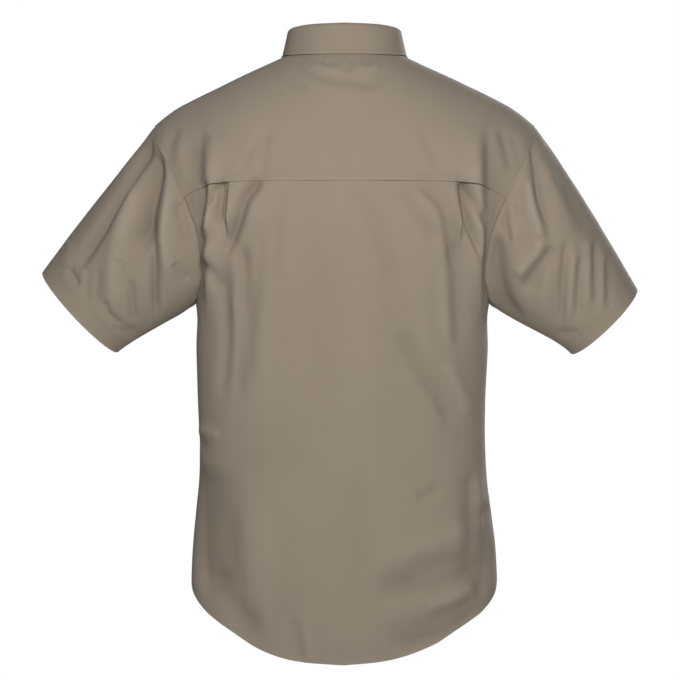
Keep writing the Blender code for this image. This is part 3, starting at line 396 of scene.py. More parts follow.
SLEEVE_FRONT_CREASES = (
    # both sleeves
    Crease(7.0, 9.0, 8.0, 1.6, ((250, -116), (268, -160), (288, -206), (310, -248))),
    Crease(8.0, 12.0, 9.5, 1.8, ((236, -136), (241, -190), (248, -240), (256, -306))),
    Crease(12.0, 9.0, -5.6, 2.0, ((252, -170), (266, -230), (282, -300))),
    Crease(5.0, 5.0, 5.0, 1.6, ((296, -258), (316, -288), (330, -312))),
    Crease(5.0, 6.0, 5.2, 1.6, ((272, -290), (280, -318), (286, -342))),
    Crease(7.0, 9.0, 8.0, 1.6, ((-248, -112), (-266, -164), (-290, -216), (-308, -250))),
    Crease(8.0, 12.0, 9.0, 1.8, ((-234, -140), (-238, -196), (-242, -250), (-248, -312))),
    Crease(12.0, 9.0, -5.2, 2.0, ((-250, -176), (-262, -236), (-276, -304))),
    Crease(5.0, 5.0, 5.0, 1.6, ((-298, -252), (-310, -288), (-316, -322))),
    Crease(5.0, 6.0, 4.6, 1.6, ((-268, -300), (-272, -326), (-280, -350))),
)

PATH_STEPS = 6
CREASE_REACH = 4.5
START_FADE = 0.16
END_FADE = 0.22
LEAST_DEPTH = 0.1
RIM_HEIGHT = 0.3
RIM_WIDTH = 2.2


def crease_lift(creases, across, up):
    """Height of one table of creases at places on the cloth, from the distance to each path."""
    total = np.zeros(np.shape(across))
    for crease in creases:
        marks = np.array(crease.path, float)
        steps = np.linspace(0.0, len(marks) - 1.0, PATH_STEPS * (len(marks) - 1) + 1)
        line = np.stack([through(np.arange(len(marks)), marks[:, axis], steps) for axis in (0, 1)], -1)
        reach = CREASE_REACH * max(crease.inner, crease.outer)
        near = (
            (across > line[:, 0].min() - reach) & (across < line[:, 0].max() + reach)
            & (up > line[:, 1].min() - reach) & (up < line[:, 1].max() + reach)
        )
        if not near.any():
            continue
        spots = np.stack([across[near], up[near]], -1)
        starts, runs = line[:-1], np.diff(line, axis=0)
        lengths = np.linalg.norm(runs, axis=1)
        offset = spots[:, None] - starts
        share = np.clip((offset * runs).sum(-1) / lengths ** 2, 0.0, 1.0)
        away = offset - share[..., None] * runs
        gap = np.linalg.norm(away, axis=-1)
        nearest = gap.argmin(axis=1)
        rows = np.arange(len(spots))
        travelled = np.concatenate([[0.0], np.cumsum(lengths)])
        along = (travelled[nearest] + share[rows, nearest] * lengths[nearest]) / travelled[-1]
        outside = away[rows, nearest, 0] * np.sign(spots[:, 0]) / np.maximum(gap[rows, nearest], 1e-6)
        width = crease.inner + (crease.outer - crease.inner) * ease(0.5 + 0.9 * outside)
        distance = gap[rows, nearest] / width
        taper = LEAST_DEPTH + 0.9 * ease(along / START_FADE) * ease((1.0 - along) / END_FADE)
        shape = np.exp(-distance ** crease.sharp) - RIM_HEIGHT * np.exp(-(distance / RIM_WIDTH) ** 2)
        total[near] -= crease.depth * shape * taper
    return total


CREASE_TABLES = (BACK_CREASES, FRONT_CREASES, SLEEVE_BACK_CREASES, SLEEVE_FRONT_CREASES)
print(sum(len(creases) for creases in CREASE_TABLES), "creases laid by hand")

# %% [markdown]
# ## Unevenness
# Between its folds real cloth is never quite smooth.  A grid of fixed random heights, blended
# smoothly, gives a slow swell of a millimetre or so, longer down the cloth than across it.

# %% Unevenness
CELLS = 64
CELL_SHIFT = (31.3, 31.7)
BROAD_CELL = (46.0, 90.0)
FINE_CELL = (17.0, 34.0)
BROAD_SWELL = 0.9
FINE_SWELL = 0.3
SEEDS = {"back": 11, "yoke": 21, "front_left": 31, "front_right": 41, "sleeve_left": 51, "sleeve_right": 61}


def swell(across, up, cell, seed):
    """Slow random height from -1 to 1, on a grid of cells."""
    table = np.random.default_rng(seed).uniform(-1.0, 1.0, (CELLS, CELLS))
    x, z = across / cell[0] + CELL_SHIFT[0], up / cell[1] + CELL_SHIFT[1]
    col, row = np.floor(x).astype(int), np.floor(z).astype(int)
    fx, fz = ease(x - col), ease(z - row)
    col, row = col % (CELLS - 1), row % (CELLS - 1)
    low = table[row, col] * (1.0 - fx) + table[row, col + 1] * fx
    high = table[row + 1, col] * (1.0 - fx) + table[row + 1, col + 1] * fx
    return low * (1.0 - fz) + high * fz


def uneven(across, up, seed):
    """Swell of the cloth in millimetres, from broad and fine cells."""
    broad = swell(across, up, BROAD_CELL, seed)
    fine = swell(across, up, FINE_CELL, seed + 1)
    return BROAD_SWELL * broad + FINE_SWELL * fine


print("swell up to", BROAD_SWELL + FINE_SWELL, "mm each way")

# %% [markdown]
# ## Armholes, hem and pleats
# The armhole seam is a line drawn on the body form.  The hem dips from the side seams to the middle,
# as on a shirt tail.  A knife pleat folds the cloth back under itself: its cross-section is drawn as
# a path that runs out, turns under and runs on, and it opens out lower down.

# %% Seam lines
Armhole = namedtuple("Armhole", "height back front")
ARMHOLE = (
    Armhole(-318.0, 1.000, 1.000),
    Armhole(-313.0, 0.910, 0.917),
    Armhole(-305.0, 0.847, 0.858),
    Armhole(-295.0, 0.781, 0.789),
    Armhole(-280.0, 0.714, 0.710),
    Armhole(-265.0, 0.662, 0.659),
    Armhole(-242.0, 0.602, 0.596),
    Armhole(-216.0, 0.560, 0.543),
    Armhole(-200.0, 0.552, 0.530),
    Armhole(-185.0, 0.553, 0.532),
    Armhole(-152.0, 0.594, 0.574),
    Armhole(-125.0, 0.664, 0.649),
    Armhole(-103.0, 0.732, 0.729),
)
ARMHOLE_TOP = 246.0
YOKE_BACK_HEIGHT = -185.0
YOKE_FRONT_HEIGHT = -103.0

Hem = namedtuple("Hem", "angle back front")
HEM = (
    Hem(0.0, 104.0, 88.0),
    Hem(15.0, 98.0, 84.0),
    Hem(28.0, 85.0, 74.0),
    Hem(43.0, 62.0, 56.0),
    Hem(60.0, 40.0, 37.0),
    Hem(77.0, 18.0, 17.0),
    Hem(90.0, 0.0, 0.0),
)
HEM_RIGHT_RISE = 4.0
HEM_RISE_ANGLE = 26.0
HEM_RISE_SPREAD = 16.0
SEAM_END = 207.0
SEAM_POWER = 5


def armhole_line(face, low, high, count):
    """Turn and cloth height of the armhole seam between two heights, in equal steps."""
    name = "back" if face > 0 else "front"
    rows = [(r.height, getattr(r, name)) for r in ARMHOLE]
    rows.append((float(ridge(ARMHOLE_TOP)), float(turn_of(face, ARMHOLE_TOP, 0.0))))
    up = np.linspace(low, high, 400)
    turn = through([r[0] for r in rows], [r[1] for r in rows], up)
    height = cloth_height(face, across_of(face, turn, up), up)
    points = hull(np.full(up.shape, face), across_of(face, turn, height), height)
    lengths = np.concatenate([[0.0], np.cumsum(np.linalg.norm(np.diff(points, axis=0), axis=1))])
    wanted = np.linspace(0.0, lengths[-1], count + 1)
    return np.interp(wanted, lengths, turn), np.interp(wanted, lengths, height)


def hem_height(face, turn):
    """Height of the hem round a panel."""
    angle = np.abs(turn) * 90.0
    drop = column(HEM, "angle", "back" if face > 0 else "front", angle, flat_end=True)
    if face > 0:
        bump = np.exp(-((angle - HEM_RISE_ANGLE) / HEM_RISE_SPREAD) ** 2)
        drop = drop - HEM_RIGHT_RISE * (turn < 0) * bump
    return SIDE_HEM - drop


def seam_height(share):
    """The yoke seam is level, and drops a little towards the armholes."""
    end = float(cloth_height(1, SEAM_END, YOKE_BACK_HEIGHT))
    return CHEST + (end - CHEST) * np.abs(share) ** SEAM_POWER


print("armhole from", UNDERARM, "mm up to", round(float(ridge(ARMHOLE_TOP)), 1), "mm")


# %% Pleats
PLEAT_EDGE = 147.0
PLEAT_DEPTH = 18.0
PLEAT_END = -305.0
OUTER_NOSE = 1.35
INNER_NOSE = 0.25
PLEAT_FLAT = 40.0
PLEAT_UNDER = 6.0
UNFOLDED_AT = 0.75
DEPTH_FADE = 1.5
SPREAD_FROM = 0.35
SPREAD_OVER = 0.65
MOUTH_RISE = 0.45
MOUTH_OVER = 0.4
CROWDING = 1.25
CENTRE_COLUMNS = 46
NOSE_COLUMNS = 7
FLAP_COLUMNS = 5


def pleat_path(release):
    """Cross-section of a pleat, as steps outwards and inwards from its edge."""
    beta = np.pi * (1.0 - ease(release / UNFOLDED_AT))
    depth = PLEAT_DEPTH * (1.0 - release) ** DEPTH_FADE
    angles = beta * np.linspace(0.0, 1.0, NOSE_COLUMNS + 1)
    outer = np.stack([OUTER_NOSE * (np.sin(angles) - 1.0), OUTER_NOSE * (np.cos(angles) - 1.0)], -1)
    flap = np.linspace(0.0, 1.0, FLAP_COLUMNS + 1)[1:, None]
    under = outer[-1] + flap * depth * np.array([np.cos(beta), -np.sin(beta)])
    turned = beta * np.linspace(0.0, 1.0, NOSE_COLUMNS + 1)[1:]
    run = INNER_NOSE * (np.sin(beta) - np.sin(beta - turned))
    fall = INNER_NOSE * (np.cos(beta - turned) - np.cos(beta))
    return np.concatenate([outer, under, under[-1] + np.stack([run, -fall], -1)])


def pleat_columns(release):
    """Places across the panel, and lifts, of every column from the middle to the side."""
    path = pleat_path(release)
    open_share = ease((release - SPREAD_FROM) / SPREAD_OVER)
    step = np.linspace(0.0, 1.0, FLAP_COLUMNS + 1)[1:]
    under_x = path[-1, 0] * 0.999 + (PLEAT_UNDER - path[-1, 0]) * step
    under = np.stack([under_x, np.full(len(step), path[-1, 1])], -1)
    folded = np.concatenate([path, under])
    flat = np.linspace(-0.5, 0.5, len(folded)) * PLEAT_FLAT
    across = PLEAT_EDGE + folded[:, 0] * (1.0 - open_share) + flat * open_share
    rise = -MOUTH_RISE * path[-1, 1] * ease(release / MOUTH_OVER)
    lift = (folded[:, 1] + rise) * (1.0 - open_share)
    middle = across[0] * (1.0 - (1.0 - np.linspace(0.0, 1.0, CENTRE_COLUMNS + 1)[:-1]) ** CROWDING)
    return np.concatenate([middle, across]), np.concatenate([lift[0] * ease(middle / across[0]), lift])


print("each pleat turns", PLEAT_DEPTH, "mm under")

# %% [markdown]
# ## From points to cloth
# Every panel starts as a flat grid of quads, like a piece on the cutting table.  Its vertices are
# then moved to their places on the form, it keeps its flat measure as a UV map in metres, so that the
# weave runs true to the grain, and a Solidify modifier gives the cloth its thickness inwards.
# Each vertex also carries its distance to the nearest row of stitches and to the nearest folded
# edge, from which the material draws the seam's pull and the wear.  It also carries how far the folds
# moved it, from which the material paints shade into the troughs and a paler tone onto the ridges.

# %% Cloth panels
CLOTH = 0.7
FOLD_RADIUS = 0.78
FAR = 60.0
AXIS_DROP = 60.0
HEM_ROW = 4.0


def outward(points, wrapped=False):
    """Normals of a grid of points, which face away from the middle of the shirt or sleeve."""
    if wrapped:
        ring = np.concatenate([points[:, -2:-1], points, points[:, 1:2]], axis=1)
        around = ring[:, 2:] - ring[:, :-2]
        middle = points.mean(axis=1, keepdims=True)
    else:
        around = np.gradient(points, axis=1)
        middle = np.array([0.0, 0.0, 1.0]) * points - [0.0, 0.0, AXIS_DROP]
    normals = unit(np.cross(np.gradient(points, axis=0), around))
    return normals if ((points - middle) * normals).sum() > 0.0 else -normals


def lengths_along(points, axis):
    """Distance travelled along the rows (axis 1) or down the columns (axis 0) of a grid."""
    steps = np.linalg.norm(np.diff(points, axis=axis), axis=-1)
    zero = np.zeros_like(np.take(steps, [0], axis=axis))
    return np.concatenate([zero, np.cumsum(steps, axis=axis)], axis=axis)


def from_bottom(points):
    """Distance up to each place of a grid from its last row."""
    return lengths_along(points[::-1], 0)[::-1]


def from_sides(points):
    """Distance to each place of a grid from the nearer of its two sides."""
    return np.minimum(lengths_along(points, 1), lengths_along(points[:, ::-1], 1)[:, ::-1])


def padded_rows(values, rows, fill=FAR):
    """The values of a grid, with the same fill for the rows that its hem adds."""
    more = np.full((rows - values.shape[0], values.shape[1]), fill)
    return np.concatenate([values, more])


def up_from_last(values, gone, distance):
    """Values of a grid at a distance up from its last row, worked out column by column."""
    return np.array([
        [np.interp(distance, gone[:, col], values[::-1, col, axis]) for axis in range(3)]
        for col in range(values.shape[1])
    ])


def turned_hem(points, normals, depth):
    """The grid with its last rows turned inside: a tight fold, then the allowance going back up."""
    travel = unit(points[-1] - points[-2])
    extra = []
    for angle in np.radians(np.arange(30.0, 181.0, 30.0)):
        inward = FOLD_RADIUS * (1.0 - np.cos(angle))
        extra.append(points[-1] + travel * FOLD_RADIUS * np.sin(angle) - normals[-1] * inward)
    gone = lengths_along(points[::-1], 0)
    count = max(2, int(round(depth / HEM_ROW)))
    for back in np.linspace(depth / count, depth, count):
        extra.append(up_from_last(points, gone, back) - normals[-1] * 2.0 * FOLD_RADIUS)
    return np.concatenate([points, np.array(extra)])


def cloth_object(name, points, wrapped=False, stitch=None, edge=None, relief=None, thickness=CLOTH):
    """A panel of cloth from a grid of points on its outside, in millimetres."""
    rows, columns = points.shape[:2]
    bm = bmesh.new()
    bmesh.ops.create_grid(bm, x_segments=columns - 1, y_segments=rows - 1, size=1.0)
    mesh = bpy.data.meshes.new(name)
    bm.to_mesh(mesh)
    bm.free()
    flat = np.empty(len(mesh.vertices) * 3)
    mesh.vertices.foreach_get("co", flat)
    flat = flat.reshape(-1, 3)
    col = np.rint((flat[:, 0] + 1.0) / 2.0 * (columns - 1)).astype(int)
    row = np.rint((flat[:, 1] + 1.0) / 2.0 * (rows - 1)).astype(int)
    mesh.vertices.foreach_set("co", (points[row, col] * MM).ravel())
    across = lengths_along(points, 1)
    across = across - across[:, columns // 2][:, None]
    down = lengths_along(points, 0)
    corner = np.empty(len(mesh.loops), int)
    mesh.loops.foreach_get("vertex_index", corner)
    uv = np.stack([across[row, col], -down[row, col]], -1)[corner] * MM
    mesh.uv_layers.new(name="cut").data.foreach_set("uv", uv.ravel())
    fields = (("stitch", stitch, FAR), ("fold_edge", edge, FAR), ("relief", relief, 0.0))
    for label, values, usual in fields:
        field = np.full((rows, columns), usual)
        if values is not None:
            field[:len(values)] = values
        layer = mesh.attributes.new(label, "FLOAT", "POINT")
        layer.data.foreach_set("value", field[row, col].astype(np.float32))
    mesh.update()
    faces_out = outward(points, wrapped)
    sample = mesh.polygons[len(mesh.polygons) // 2]
    centre = np.array(sample.normal)
    first = sample.vertices[0]
    bm = bmesh.new()
    bm.from_mesh(mesh)
    if centre @ faces_out[row[first], col[first]] < 0.0:
        bmesh.ops.reverse_faces(bm, faces=bm.faces[:])
    if wrapped:
        bmesh.ops.remove_doubles(bm, verts=bm.verts[:], dist=1e-6)
    for face in bm.faces:
        face.smooth = True
    bm.to_mesh(mesh)
    bm.free()
    made = bpy.data.objects.new(name, mesh)
    bpy.context.scene.collection.objects.link(made)
    wall = made.modifiers.new("thickness", "SOLIDIFY")
    wall.thickness = thickness * MM
    wall.offset = -1.0
    wall.use_rim = True
    mesh.materials.append(COTTON)
    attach(made, "root")
    area = sum(f.area for f in mesh.polygons)
    print(f"{name}: {rows} x {columns} points, {area * 1e4:.0f} square cm")
    return made


# %% [markdown]
# ## Shader maths
# Node trees are quicker to read as sums.  This small class wraps a socket, so that `a * b + c` adds
# the Math nodes itself, and `node` adds any other node with its settings and inputs.

# %% Shader helper
class Wire:
    """One output socket, with the operators that the materials use."""

    def __init__(self, tree, socket):
        self.tree = tree
        self.socket = socket

    def node(self, kind, settings=None, output=0, **inputs):
        """Another node, with its inputs given by name, or by place as i0, i1 and so on."""
        made = self.tree.nodes.new(kind)
        for key, value in (settings or {}).items():
            setattr(made, key, value)
        for key, value in inputs.items():
            place = int(key[1:]) if key[1:].isdigit() else key.replace("_", " ")
            target = made.inputs[place]
            if isinstance(value, Wire):
                self.tree.links.new(value.socket, target)
            else:
                target.default_value = value
        return Wire(self.tree, made.outputs[output])

    def maths(self, operation, *values):
        """A Math node."""
        inputs = {f"i{index}": value for index, value in enumerate(values)}
        return self.node("ShaderNodeMath", {"operation": operation}, **inputs)

    def __add__(self, other):
        return self.maths("ADD", self, other)

    __radd__ = __add__

    def __mul__(self, other):
        return self.maths("MULTIPLY", self, other)

    __rmul__ = __mul__

    def __sub__(self, other):
        return self.maths("SUBTRACT", self, other)

    def __rsub__(self, other):
        return self.maths("SUBTRACT", other, self)


def mix_colours(start, low, high, factor):
    """Colour between two others, as the factor says."""
    made = start.tree.nodes.new("ShaderNodeMix")
    made.data_type = "RGBA"
    for index, value in ((0, factor), (6, low), (7, high)):
        if isinstance(value, Wire):
            start.tree.links.new(value.socket, made.inputs[index])
        else:
            made.inputs[index].default_value = value
    return Wire(start.tree, made.outputs[2])


def new_material(name):
    """An empty surface: its shader node, and a wire to start from."""
    made = bpy.data.materials.new(name)
    made.use_nodes = True
    shader = made.node_tree.nodes["Principled BSDF"]
    return made, shader, Wire(made.node_tree, None)


def connect(wire, shader, socket):
    """Link a wire to one of the shader's sockets."""
    wire.tree.links.new(wire.socket, shader.inputs[socket])


# %% [markdown]
# ## The cotton
# The cloth is a plain khaki cotton twill, matt, with a faint bloom from its short fibres.  The
# threads are half a millimetre apart: two slanted waves in the UV map's metres make the twill line,
# and a noise stretched along the grain varies the yarn.  Next to a row of stitches the cloth is
# drawn in and puckers, and on a folded edge the dye has rubbed a little paler.  The colour also
# follows the folds: painted shade darkens the troughs, and the ridges are painted paler, part wear
# and part painted highlight.

# %% Cotton material
KHAKI = (0.318, 0.262, 0.198, 1.0)
KHAKI_DARK = (0.286, 0.234, 0.175, 1.0)
# the worn colour also paints the fold ridges paler, part wear and part painted highlight; the deep colour is
# painted shade for the fold troughs
KHAKI_WEAR_AND_HIGHLIGHT = (0.365, 0.306, 0.237, 1.0)
KHAKI_PAINTED_SHADE = (0.225, 0.182, 0.136, 1.0)
TWILL_PITCH = 0.00062
WEFT_SHARE = 0.62


def cotton(name):
    """The cloth's material: colour and roughness that vary a little, and a fine bump."""
    made, shader, start = new_material(name)
    place = start.node("ShaderNodeUVMap", {"uv_map": "cut"})
    u = start.node("ShaderNodeSeparateXYZ", None, 0, Vector=place)
    v = Wire(start.tree, u.socket.node.outputs[1])
    twill = start.maths("SINE", (u + v * 0.8) * (2.0 * np.pi / TWILL_PITCH))
    weft = start.maths("SINE", (v - u * 0.15) * (2.0 * np.pi / (TWILL_PITCH * WEFT_SHARE)))
    grain = start.node("ShaderNodeMapping", None, 0, Vector=place, Scale=(1.0, 0.16, 1.0))
    yarn = start.node("ShaderNodeTexNoise", None, 0, Vector=grain, Scale=620.0, Detail=2.0)
    slub = start.node("ShaderNodeTexNoise", None, 0, Vector=grain, Scale=90.0, Detail=3.0)
    cloud = start.node("ShaderNodeTexNoise", None, 0, Vector=place, Scale=9.0, Detail=2.0)
    stitch = start.node("ShaderNodeAttribute", {"attribute_name": "stitch"}, 2)
    edge = start.node("ShaderNodeAttribute", {"attribute_name": "fold_edge"}, 2)
    relief = start.node("ShaderNodeAttribute", {"attribute_name": "relief"}, 2)
    pull = start.maths("EXPONENT", (stitch * stitch) * -0.9)
    near = start.maths("EXPONENT", (stitch * stitch) * -0.035)
    pucker = start.node("ShaderNodeTexNoise", None, 0, Vector=place, Scale=135.0, Detail=1.0)
    worn = start.maths("EXPONENT", edge * -0.55)
    tint = slub * 0.55 + cloud * 0.75 + yarn * 0.2 - 0.25
    colour = mix_colours(start, KHAKI_DARK, KHAKI, tint)
    colour = mix_colours(start, colour, KHAKI_WEAR_AND_HIGHLIGHT, worn * 0.55)
    # by how far the folds moved the cloth: ridges paler, part wear and part painted highlight, and troughs
    # darker, painted shade
    colour = mix_colours(start, colour, KHAKI_WEAR_AND_HIGHLIGHT, relief * 0.08)
    colour = mix_colours(start, colour, KHAKI_PAINTED_SHADE, relief * -0.06)
    colour = mix_colours(start, colour, KHAKI_DARK, pull * 0.6)
    connect(colour, shader, "Base Color")
    connect(0.86 + slub * 0.08, shader, "Roughness")
    shader.inputs["Specular IOR Level"].default_value = 0.25
    shader.inputs["Sheen Weight"].default_value = 0.12
    shader.inputs["Sheen Roughness"].default_value = 0.6
    fine = twill * 0.000035 + weft * 0.00002 + yarn * 0.00007
    broad = slub * 0.00012 - pull * 0.0005 + (pucker - 0.5) * near * 0.0011
    bump = start.node("ShaderNodeBump", None, 0, Height=fine + broad, Strength=0.8, Distance=1.0)
    connect(bump, shader, "Normal")
    return made


COTTON = cotton("khaki_cotton")
print(COTTON.name, "has", len(COTTON.node_tree.nodes), "nodes")

# %% [markdown]
# ## Back
# The back is one panel from the yoke seam to the shirt tail, with a knife pleat under each end of
# the yoke.  Its grid runs from the middle to each side seam, and its top tucks in under the yoke.

# %% Back
SIDE_COLUMNS = 40
ARMHOLE_ROWS = 56
BODY_ROWS = 104
LAP = 1.7
SEAM_ALLOWANCE = 9.0
HEM_TURN = 8.0
HEM_STITCH = 6.5
SIDE_STITCH = 7.0
PLEAT_AT = 0.7
TUCK_REACH = 45.0
SETTLE_OVER = 0.8
ROUND_TOP = 5.0
CALM_POWER = 14


def place(face, turn, height, lift):
    """Points on the body form, raised by a lift, with their normals."""
    sides = np.full(np.shape(turn), face)
    normals = hull_normal(sides, turn, height)
    points = hull(sides, across_of(sides, turn, height), height)
    return points + normals * np.asarray(lift)[..., None], normals


def back_rows():
    """Turn and height of the armhole edge, height in the middle and shape, for each upper row."""
    turns, heights = armhole_line(1, UNDERARM, YOKE_BACK_HEIGHT, ARMHOLE_ROWS)
    rows = []
    for index in range(ARMHOLE_ROWS + 1):
        share = index / ARMHOLE_ROWS
        middle = CHEST + (UNDERARM - CHEST) * share
        shape = ROUND_TOP - 3.0 * ease(share * 2.0)
        rows.append((turns[-1 - index], heights[-1 - index], middle, shape))
    return rows


def back_row(side, edge_turn, line):
    """Turns, heights and lifts of one row of the back, from the middle to the side."""
    near = float(line(PLEAT_AT))
    release = np.clip((CHEST - near) / (CHEST - PLEAT_END), 0.0, 1.0)
    xs, lifts = pleat_columns(release)
    turns = turn_of(1, xs, np.full(xs.shape, near))
    steps = np.linspace(0.0, 1.0, SIDE_COLUMNS + 1)[1:]
    turns = np.concatenate([turns, turns[-1] + (edge_turn - turns[-1]) * steps])
    lifts = np.concatenate([lifts, lifts[-1] * (1.0 - ease(steps / SETTLE_OVER))])
    heights = line(turns / edge_turn)
    under = (seam_height(turns / edge_turn) - heights) / TUCK_REACH
    return side * turns, heights, lifts - LAP * (1.0 - ease(under))


def upper_line(height, middle, shape, rise):
    """A row above the underarm: its height at each share of the way to the armhole."""
    def line(share):
        return middle + rise + (height - middle) * np.abs(share) ** shape
    return line


def lower_line(side, down):
    """A row below the underarm, part of the way down to the hem."""
    def line(share):
        return UNDERARM + (hem_height(1, side * share) - UNDERARM) * down
    return line


def back_half(side):
    """Turns, heights and lifts of one half of the back, from above the yoke seam to the hem."""
    rows = []
    top = back_rows()
    for rise in (SEAM_ALLOWANCE, SEAM_ALLOWANCE / 2.0):
        rows.append(back_row(side, top[0][0], upper_line(*top[0][1:], rise)))
    for turn, *form in top:
        rows.append(back_row(side, turn, upper_line(*form, 0.0)))
    for index in range(1, BODY_ROWS + 1):
        rows.append(back_row(side, 1.0, lower_line(side, index / BODY_ROWS)))
    return np.array(rows).transpose(1, 0, 2)


def mirrored(left, right):
    """A whole panel from its two halves, which share the middle column."""
    return np.concatenate([right[..., :0:-1], left], axis=-1)


def calm_by_side(turn):
    """How much of its creases a place keeps: all of them, but for a strip at the side seam."""
    return 1.0 - np.abs(turn) ** CALM_POWER


def dressed(points, normals, creases, seed, amount):
    """Points moved out and in by the creases and the unevenness of the cloth, and how far they move."""
    lift = crease_lift(creases, points[..., 0], points[..., 2])
    lift = amount * (lift + uneven(points[..., 0], points[..., 2], seed))
    return points + normals * lift[..., None], lift


back_turn, back_height, back_lift = mirrored(back_half(1), back_half(-1))
back_smooth, BACK_NORMALS = place(1, back_turn, back_height, back_lift)
back_calm = calm_by_side(back_turn)
BACK, back_relief = dressed(back_smooth, BACK_NORMALS, BACK_CREASES, SEEDS["back"], back_calm)
from_hem = from_bottom(BACK)
back_stitch = np.minimum(np.abs(from_hem - HEM_STITCH), np.abs(from_sides(BACK) - SIDE_STITCH))
BACK_HEMMED = turned_hem(BACK, BACK_NORMALS, HEM_TURN)


back = cloth_object("shirt_back", BACK_HEMMED, stitch=padded_rows(back_stitch, len(BACK_HEMMED)),
                    edge=padded_rows(from_hem, len(BACK_HEMMED), 0.0), relief=back_relief)
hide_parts("back")

# %% [markdown]
# ## Yoke
# The yoke is the flat piece over both shoulders.  Its columns start at the neckline and fan out to
# the back seam, round the armholes and down to the front seams, so that its grain turns as the
# cloth does.  Its lower edge is folded under and lies on the back.

# %% Yoke
NECK_HALF_WIDTH = 72.0
NECK_BACK = 64.0
NECK_FRONT = 87.0
NECK_YOKE_ANGLE = 117.0
YOKE_ARM_BACK = 34
YOKE_ARM_FRONT = 14
YOKE_RINGS = 84
YOKE_STITCHES = (2.0, 7.5)
YOKE_UNEVEN = 0.6
BEHIND_FROM = 10.0
BEHIND_OVER = 40.0


def neck_plan(angle):
    """The neckline in plan, with the angle in degrees from the middle of the back."""
    radians = np.radians(angle)
    deep = np.where(np.cos(radians) > 0, NECK_BACK, NECK_FRONT)
    return NECK_HALF_WIDTH * np.sin(radians), deep * np.cos(radians)


def over_height(across, y):
    """Height along the cloth, counted on over the ridge and down the front."""
    face = np.where(y >= 0, 1, -1)
    depth = np.abs(hull(face, across, np.full(np.shape(across), CHEST))[..., 1])
    rise = np.arccos(np.clip(np.abs(y) / depth, 0.0, 1.0) ** (curl(face, np.abs(across)) / 2.0))
    height = CHEST + ARCH * rise * 2.0 / np.pi
    return np.where(y >= 0, height, 2.0 * RIDGE_HEIGHT - height)


def over_place(across, over):
    """Points and normals on the yoke; heights past the ridge run down the front."""
    face = np.where(over <= RIDGE_HEIGHT, 1, -1)
    height = np.where(over <= RIDGE_HEIGHT, over, 2.0 * RIDGE_HEIGHT - over)
    points = hull(face, across, height)
    return points, hull_normal(face, turn_of(face, across, height), height)


def yoke_outer_line():
    """Places across and heights of the yoke's outer edge on one side: seam, then armhole."""
    end_turn = float(armhole_line(1, UNDERARM, YOKE_BACK_HEIGHT, ARMHOLE_ROWS)[0][-1])
    seam_turn = np.linspace(0.0, end_turn, CENTRE_COLUMNS + SIDE_COLUMNS + 1)
    seam_t = seam_height(seam_turn / end_turn)
    seam_x = across_of(1, seam_turn, seam_t)
    turn, height = armhole_line(1, YOKE_BACK_HEIGHT, float(ridge(ARMHOLE_TOP)), YOKE_ARM_BACK)
    arm_x = across_of(1, turn, height)
    low, low_height = armhole_line(-1, YOKE_FRONT_HEIGHT, float(ridge(ARMHOLE_TOP)), YOKE_ARM_FRONT)
    front_x = across_of(-1, low[::-1], low_height[::-1])
    front_t = 2.0 * RIDGE_HEIGHT - low_height[::-1]
    across = np.concatenate([seam_x, arm_x[1:], front_x[1:]])
    return across, np.concatenate([seam_t, height[1:], front_t[1:]])


def yoke_half(side):
    """Places across and heights of one half of the yoke, rings from the neck to its outer edge."""
    outer_x, outer_t = yoke_outer_line()
    top = len(outer_x) - 1 - YOKE_ARM_FRONT
    front = np.linspace(90.0, NECK_YOKE_ANGLE, YOKE_ARM_FRONT + 1)[1:]
    inner_x, inner_y = neck_plan(np.concatenate([np.linspace(0.0, 90.0, top + 1), front]))
    inner_t = over_height(inner_x, inner_y)
    rings = np.linspace(0.0, 1.0, YOKE_RINGS + 1)[:, None]
    across = inner_x + (outer_x - inner_x) * rings
    over = inner_t + (outer_t - inner_t) * rings
    return np.stack([side * across, over])


yoke_across, yoke_over = mirrored(yoke_half(1), yoke_half(-1))
yoke_smooth, YOKE_NORMALS = over_place(yoke_across, yoke_over)
behind = ease((yoke_smooth[..., 1] + BEHIND_FROM) / BEHIND_OVER)
yoke_lift = crease_lift(BACK_CREASES, yoke_smooth[..., 0], yoke_smooth[..., 2]) * behind
yoke_run = yoke_smooth[..., 1] + yoke_smooth[..., 2]
yoke_lift = yoke_lift + YOKE_UNEVEN * uneven(yoke_smooth[..., 0], yoke_run, SEEDS["yoke"])
YOKE = yoke_smooth + YOKE_NORMALS * yoke_lift[..., None]
from_seam = from_bottom(YOKE)
YOKE_HEMMED = turned_hem(YOKE, YOKE_NORMALS, HEM_TURN)
yoke_stitch = np.minimum(*[np.abs(from_seam - distance) for distance in YOKE_STITCHES])
yoke = cloth_object("shirt_yoke", YOKE_HEMMED, stitch=padded_rows(yoke_stitch, len(YOKE_HEMMED)),
                    edge=padded_rows(from_seam, len(YOKE_HEMMED), 0.0), relief=yoke_lift)
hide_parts("yoke")

# %% [markdown]
# ## Fronts
# Two fronts hang from the yoke's front seams.  The left one laps over the right one, and the band
# with the buttons lies on it.  No pocket is added, because none can be seen.

# %% Fronts
FRONT_OVERLAP = 17.5
FRONT_RECESS = 1.9
OVERLAP_ANGLE = float(np.degrees(np.arcsin(FRONT_OVERLAP / NECK_HALF_WIDTH)))
EDGE_COLUMNS = 11
NECK_FRONT_COLUMNS = 20
LAP_FLAT = 22.0
LAP_FADE = 28.0
CALM_FROM = 0.08
CALM_OVER = 0.12


